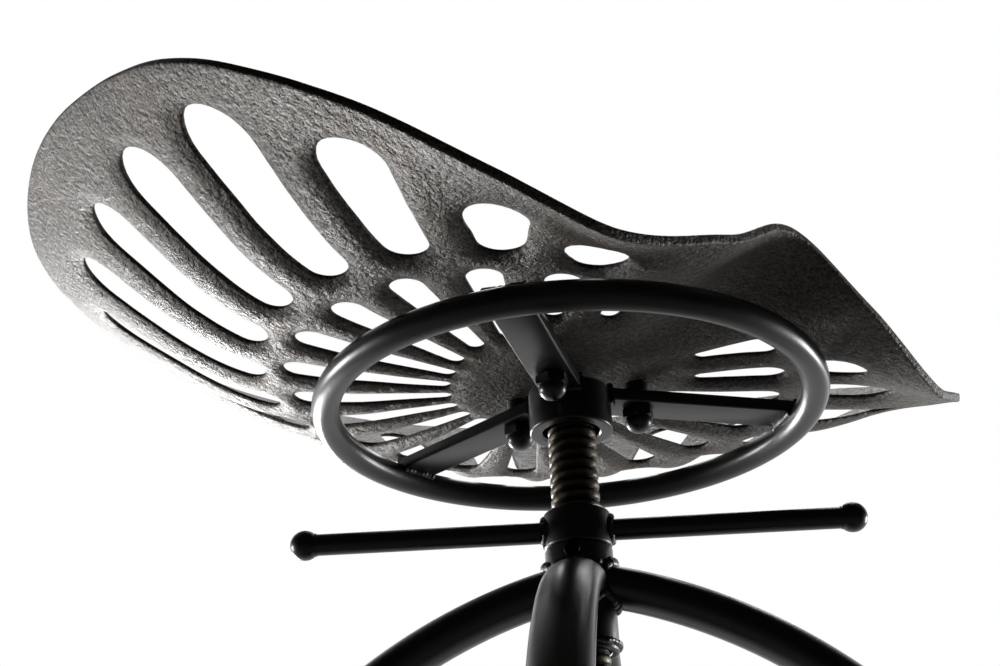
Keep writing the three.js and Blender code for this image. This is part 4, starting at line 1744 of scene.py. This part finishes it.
@dataclass
class Base(Assembly):
    """The sleeve, the four bent legs, their feet and the foot ring."""

    leg_turns: Numbers = tuple(math.radians(turn) for turn in (-141.4, -51.4, 38.6, 128.6))
    bore: float = 11.3 * MM
    tube_wide: float = 24.4 * MM
    tube_deep: float = 18 * MM
    top_drop: float = 14.7 * MM
    start_slope: float = math.radians(10.7)
    end_slope: float = math.radians(82)
    bend_radius: float = 236 * MM
    foot_height: float = 18 * MM
    foot_wall: float = 2.3 * MM
    foot_pad: float = 3.3 * MM
    ring_rod: float = 13 * MM
    leg_bead: float = 5.2 * MM
    sleeve_bead: float = 3.2 * MM
    foot_ring_bead: float = 4 * MM
    foot_ring_seam_lift: float = 0.36
    foot_ring_seam_half: float = 6 * MM
    key_turn: float = math.radians(-147.5)
    key_shank: float = 4.4 * MM
    key_head: float = 7 * MM
    key_head_height: float = 2.4 * MM

    def __post_init__(self) -> None:
        """Reads where the sleeve stands."""
        self.stand_at("base_sleeve")

    def leg_point(self, length: float) -> tuple[float, float]:
        """Follows a leg's middle: a bend of even radius, then straight down to the foot.

        Args:
            length: How far along the middle the point is.

        Returns:
            The point's reach from the axis and its level.
        """
        bend = self.bend_radius * (self.end_slope - self.start_slope)
        slope = self.start_slope + min(length, bend) / self.bend_radius
        reach = self.bend_radius * (math.sin(slope) - math.sin(self.start_slope))
        level = self.top - self.top_drop
        level -= self.bend_radius * (math.cos(self.start_slope) - math.cos(slope))
        straight = max(length - bend, 0)
        return reach + straight * math.cos(self.end_slope), level - straight * math.sin(self.end_slope)

    def leg_length(self) -> float:
        """Finds how far along its middle a leg meets the pad of its foot.

        Returns:
            The length.
        """
        bend = self.bend_radius * (self.end_slope - self.start_slope)
        level = self.leg_point(bend)[1]
        return bend + (level - self.foot_pad) / math.sin(self.end_slope)

    def foot_reach(self, level: float) -> float:
        """Returns the reach of a leg's middle near the floor, at a level."""
        reach, low = self.leg_point(self.leg_length())
        return reach - (level - low) / math.tan(self.end_slope)

    def leg(self, number: int) -> Piece:
        """Bends one oval tube from the sleeve to its foot.

        Args:
            number: The leg's place in the order of leg_turns.

        Returns:
            The new piece.
        """
        inside_sleeve = 0.8
        start = inside_sleeve * self.radius / math.cos(self.start_slope)
        whole = self.leg_length()
        steps = 110
        points = [self.leg_point(start + (whole - start) * at / steps) for at in range(steps + 1)]
        places = [self.place(reach, self.leg_turns[number], level) for reach, level in points]
        name = f"bent_leg_{number + 1}"
        return self.shop.tube(name, places, self.tube_wide, self.tube_deep, sides=44)

    def leg_weld(self, number: int) -> Piece:
        """Lays the bead where a leg meets the sleeve.

        Args:
            number: The leg's place in the order of leg_turns.

        Returns:
            The new piece.
        """
        turn = self.leg_turns[number]
        half_wide = self.tube_wide / 2 - 0.4 * MM
        half_deep = self.tube_deep / 2 + 0.6 * MM
        places = []
        for angle in round_angles(36):
            aside = half_wide * math.cos(angle)
            ahead = math.sqrt(self.radius**2 - aside**2) - 0.2 * MM
            level = self.top - self.top_drop - ahead * math.tan(self.start_slope)
            level += half_deep * math.sin(angle) / math.cos(self.start_slope)
            places.append(self.place(ahead, turn, level) + polar(aside, turn + QUARTER_TURN))
        return self.shop.weld(f"leg_weld_{number + 1}", places, self.leg_bead, WeldSeed.LEG + number)

    def foot(self, number: int) -> Piece:
        """Moulds a rubber cap over the end of a leg, with a groove under its lip.

        Args:
            number: The leg's place in the order of leg_turns.

        Returns:
            The new piece.
        """
        turn = self.leg_turns[number]
        wide = self.tube_wide / 2
        deep = self.tube_deep / 2 / math.sin(self.end_slope)
        wall = self.foot_wall
        top = self.foot_height
        rows = [
            (wall - 1.6 * MM, 0.0),
            (wall - 0.5 * MM, 0.4 * MM),
            (wall, 1.5 * MM),
            (wall, top - 5.5 * MM),
            (wall - 0.7 * MM, top - 5 * MM),
            (wall - 0.7 * MM, top - 4.2 * MM),
            (wall, top - 3.7 * MM),
            (wall, top - 0.8 * MM),
            (wall - 0.7 * MM, top),
            (0.4 * MM, top),
            (0.1 * MM, top - 0.6 * MM),
            (0.1 * MM, self.foot_pad),
        ]
        around = round_angles(48)[:, None]
        along = np.array(polar(1, turn))
        across = np.array(polar(1, turn + QUARTER_TURN))
        rings = []
        for grown, level in rows:
            centre = np.array([self.middle.x, self.middle.y, level]) + along * self.foot_reach(level)
            oval = np.cos(around) * along * (deep + grown) + np.sin(around) * across * (wide + grown)
            rings.append(centre + oval)
        return mesh_piece(f"rubber_foot_{number + 1}", *skin(rings))

    def foot_ring(self) -> Piece:
        """Bends the foot ring's round rod.

        Returns:
            The new piece.
        """
        radius = half_width_of("foot_ring") - self.ring_rod / 2
        places = circle_places(middle_of("foot_ring"), radius, 220)
        return self.shop.tube("foot_ring_bent", places, self.ring_rod, self.ring_rod, closed=True)

    def foot_ring_weld(self, number: int, side: int) -> Piece:
        """Lays the bead between the foot ring and a leg.

        Args:
            number: The leg's place in the order of leg_turns.
            side: 1 above the rod, and -1 below it.

        Returns:
            The new piece.
        """
        turn = self.leg_turns[number]
        level = sum(levels_of("foot_ring")) / 2 + side * self.ring_rod * self.foot_ring_seam_lift
        reach = half_width_of("foot_ring") - 1.2 * MM
        spread = self.foot_ring_seam_half / reach
        places = [self.place(reach, turn + share * spread, level) for share in SEAM_SHARES]
        name = f"foot_ring_weld_{number + 1}_{'over' if side > 0 else 'under'}"
        seed = WeldSeed.FOOT_RING + number + side
        return self.shop.weld(name, places, self.foot_ring_bead, seed, closed=False)

    def sleeve(self) -> Piece:
        """Turns the sleeve.

        Returns:
            The new piece.
        """
        corners = ((self.bore, self.bottom), (self.radius, self.bottom))
        profile = [*corners, (self.radius, self.top), (self.bore, self.top)]
        return turned_collar("sleeve_turned", profile, self.middle, sides=80, edge=0.9 * MM)

    def sleeve_weld(self) -> Piece:
        """Lays the bead round the foot of the sleeve.

        Returns:
            The new piece.
        """
        centre = Vector((self.middle.x, self.middle.y, self.bottom + 3.2 * MM))
        places = circle_places(centre, self.radius, 60)
        return self.shop.weld("sleeve_weld", places, self.sleeve_bead, WeldSeed.SLEEVE)

    def key_screw(self) -> Piece:
        """Makes the cheese-head key screw in the sleeve's side, dished in its head.

        Returns:
            The new piece.
        """
        face = self.radius + 0.2 * MM
        head_end = face + self.key_head_height
        shank = self.key_shank / 2
        head = self.key_head / 2
        tip = self.bore + 0.1 * MM
        outside = [(shank, tip), (shank, face), (head, face), (head, head_end), (1.4 * MM, head_end)]
        profile = [*rounded(outside, 0.5 * MM), (1.3 * MM, head_end - 1.2 * MM)]
        start = Vector((self.middle.x, self.middle.y, middle_of("key_screw").z))
        return mesh_piece("key_screw_made", *skin(side_rings(profile, 36, start, self.key_turn)))

    def build(self) -> None:
        """Makes and dresses the base."""
        dress = self.shop.finishes.dress
        dress(self.sleeve(), Body.BASE, Slot.PAINT, "base_sleeve")
        dress(self.sleeve_weld(), Body.BASE, Slot.PAINT)
        dress(self.key_screw(), Body.BASE, Slot.STEEL, "key_screw")
        dress(self.foot_ring(), Body.BASE, Slot.PAINT, "foot_ring")
        for number in range(len(self.leg_turns)):
            dress(self.leg(number), Body.BASE, Slot.PAINT, f"leg_{number + 1}")
            dress(self.leg_weld(number), Body.BASE, Slot.PAINT)
            dress(self.foot(number), Body.BASE, Slot.RUBBER, f"foot_{number + 1}")
            for side in (-1, 1):
                dress(self.foot_ring_weld(number, side), Body.BASE, Slot.PAINT)


class Lamp(NamedTuple):
    """A soft square lamp: how far right of the seat, behind it and above the floor, its width and watts."""

    name: str
    right: float
    away: float
    height: float
    size: float
    power: float


class Fade(NamedTuple):
    """A fade from dim to full brightness, between two places on its way."""

    start: float
    full: float
    dim: float


@dataclass
class Studio:
    """The camera below the seat, a white background, a pale floor and soft lamps behind the stool."""

    lens: float = 58.2
    sensor: float = 36
    near_limit: float = 0.02
    pan: float = math.radians(-2.308)
    tilt: float = math.radians(2.878)
    roll: float = math.radians(-2.4)
    camera_place: Numbers = (-502.6, -460.5, -304.0)
    view_turn: float = math.radians(-47.5)
    world_rise: float = 0.05
    world_fade: Fade = Fade(0.25, 0.85, 0.02)
    room_light: float = 0.09
    floor_half: float = 40.0
    floor_colour: str = "7a7977"
    floor_fade: Fade = Fade(-0.1, 0.8, 0.03)
    floor_glow: float = 0.62
    lamps: tuple[Lamp, ...] = (
        Lamp("lamp_left", -1.7, 0.5, 0.55, 0.4, 19),
        Lamp("lamp_behind_left", -1.0, 1.5, 0.5, 0.5, 34),
        Lamp("lamp_right", 1.45, 0.8, 0.58, 0.4, 14),
        Lamp("lamp_above", 0.3, 1.5, 2.5, 1.2, 16),
    )

    def __post_init__(self) -> None:
        """Reads the place that the camera faces: the middle of the ring under the seat."""
        self.target = middle_of("seat_ring")

    def camera(self) -> None:
        """Makes the camera, which looks up at the seat from the front and one side."""
        upright = Vector((0, 0, 1))
        place = self.target + Vector(self.camera_place) * MM
        ahead = (self.target - place).normalized()
        aside = ahead.cross(upright).normalized()
        above = aside.cross(ahead)
        level = ahead * math.cos(self.pan) + aside * math.sin(self.pan)
        look = level * math.cos(self.tilt) + above * math.sin(self.tilt)
        right = look.cross(upright).normalized()
        up = right.cross(look)
        turned = right * math.cos(self.roll) + up * math.sin(self.roll)
        upward = up * math.cos(self.roll) - right * math.sin(self.roll)
        lens = bpy.data.cameras.new("camera")
        lens.lens = self.lens
        lens.sensor_width = self.sensor
        lens.clip_start = self.near_limit
        camera = linked("camera", lens)
        axes = Matrix((turned, upward, -look)).transposed().to_4x4()
        camera.matrix_world = Matrix.Translation(place) @ axes
        bpy.context.scene.camera = camera

    def brighter_away(self, tree: Tree, where: Source, rise: float, fade: Fade) -> Node:
        """Adds a fade that brightens from the camera's side to behind the stool.

        Args:
            tree: The tree of the world or the floor.
            where: Coordinates that the fade runs over.
            rise: How far its way tips up.
            fade: Where it starts and ends, and how dim it starts.

        Returns:
            The node with the brightness.
        """
        x, y, _ = polar(1, self.view_turn + QUARTER_TURN)
        settings: dict = {"operation": "DOT_PRODUCT", 1: (x, y, rise)}
        facing = add_node(tree, "ShaderNodeVectorMath", settings, {0: where}).outputs["Value"]
        settings = {"From Min": fade.start, "From Max": fade.full, "To Min": fade.dim}
        settings["interpolation_type"] = "SMOOTHSTEP"
        return add_node(tree, "ShaderNodeMapRange", settings, {"Value": facing})

    def mirrored(self, tree: Tree, path: Node) -> Node:
        """Adds the test for a ray that is mirrored, or has passed through glass."""
        links = {0: path.outputs["Is Glossy Ray"], 1: path.outputs["Is Transmission Ray"]}
        return add_node(tree, "ShaderNodeMath", {"operation": "MAXIMUM"}, links)

    def world(self) -> None:
        """Makes a white background behind the stool, and a dim room on the camera's side.

        Mirrored rays see the background bright, and the other rays that light the object see little
        of it.
        """
        world = bpy.data.worlds.new("studio")
        world.use_nodes = True
        tree = world.node_tree
        tree.nodes.clear()
        where = add_node(tree, "ShaderNodeTexCoord").outputs["Generated"]
        lit = self.brighter_away(tree, where, self.world_rise, self.world_fade)
        dimmed = {"operation": "MULTIPLY", 1: self.room_light}
        room = add_node(tree, "ShaderNodeMath", dimmed, {0: lit})
        path = add_node(tree, "ShaderNodeLightPath")
        links = {"Factor": self.mirrored(tree, path), 2: room, 3: lit}
        strength = add_node(tree, "ShaderNodeMix", {"data_type": "FLOAT"}, links)
        links = {"Factor": path.outputs["Is Camera Ray"], 2: strength}
        seen = add_node(tree, "ShaderNodeMix", {"data_type": "FLOAT", 3: 1.0}, links)
        glow = add_node(tree, "ShaderNodeBackground", {"Color": (1, 1, 1, 1)}, {"Strength": seen})
        add_node(tree, "ShaderNodeOutputWorld", links={"Surface": glow})
        bpy.context.scene.world = world

    def floor(self) -> None:
        """Makes the pale floor, which keeps the stool's shadow and glosses bright only behind it."""
        material, tree = new_material("pale_floor")
        path = add_node(tree, "ShaderNodeLightPath")
        where = add_node(tree, "ShaderNodeTexCoord").outputs["Object"]
        links = {0: self.mirrored(tree, path), 1: self.brighter_away(tree, where, 0, self.floor_fade)}
        dimmed = add_node(tree, "ShaderNodeMath", {"operation": "MULTIPLY"}, links)
        links = {0: path.outputs["Is Camera Ray"], 1: dimmed}
        seen = add_node(tree, "ShaderNodeMath", {"operation": "MAXIMUM"}, links)
        share = {"operation": "MULTIPLY", 1: self.floor_glow}
        glowing = add_node(tree, "ShaderNodeMath", share, {0: seen})
        matt = add_node(tree, "ShaderNodeBsdfDiffuse", {"Color": linear(self.floor_colour)})
        glow = add_node(tree, "ShaderNodeEmission", {"Color": (1, 1, 1, 1), "Strength": 1.0})
        mixed = add_node(tree, "ShaderNodeMixShader", links={0: glowing, 1: matt, 2: glow})
        add_node(tree, "ShaderNodeOutputMaterial", links={"Surface": mixed})
        mesh = bpy.data.meshes.new("studio_floor")
        signs = [(-1, -1), (1, -1), (1, 1), (-1, 1)]
        corners = [(x * self.floor_half, y * self.floor_half, 0) for x, y in signs]
        mesh.from_pydata(corners, [], [(0, 1, 2, 3)])
        mesh.materials.append(material)
        linked("studio_floor", mesh)

    def light(self, lamp: Lamp) -> None:
        """Adds a lamp that faces the seat, placed as the camera sees it.

        Args:
            lamp: The lamp.
        """
        data = bpy.data.lights.new(lamp.name, "AREA")
        data.shape = "SQUARE"
        data.size = lamp.size
        data.energy = lamp.power
        light = linked(lamp.name, data)
        place = polar(lamp.right, self.view_turn) + polar(lamp.away, self.view_turn + QUARTER_TURN)
        place += Vector((self.target.x, self.target.y, lamp.height))
        light.location = place
        light.rotation_euler = (place - self.target).to_track_quat("Z", "Y").to_euler()
        light.visible_camera = False

    def build(self) -> None:
        """Makes the camera first, then the world, the floor and the lamps."""
        self.camera()
        self.world()
        self.floor()
        for lamp in self.lamps:
            self.light(lamp)
        bpy.context.scene.view_settings.view_transform = "Standard"


def main() -> None:
    """Builds the studio and the stool, piece by piece."""
    logging.basicConfig(level=logging.INFO, format="%(name)s: %(message)s")
    Studio().build()
    shop = Workshop(Finishes())
    SeatCarrier(shop).build()
    LiftingScrew(shop).build()
    CrossbarNut(shop).build()
    Base(shop).build()


if __name__ == "__main__":
    main()
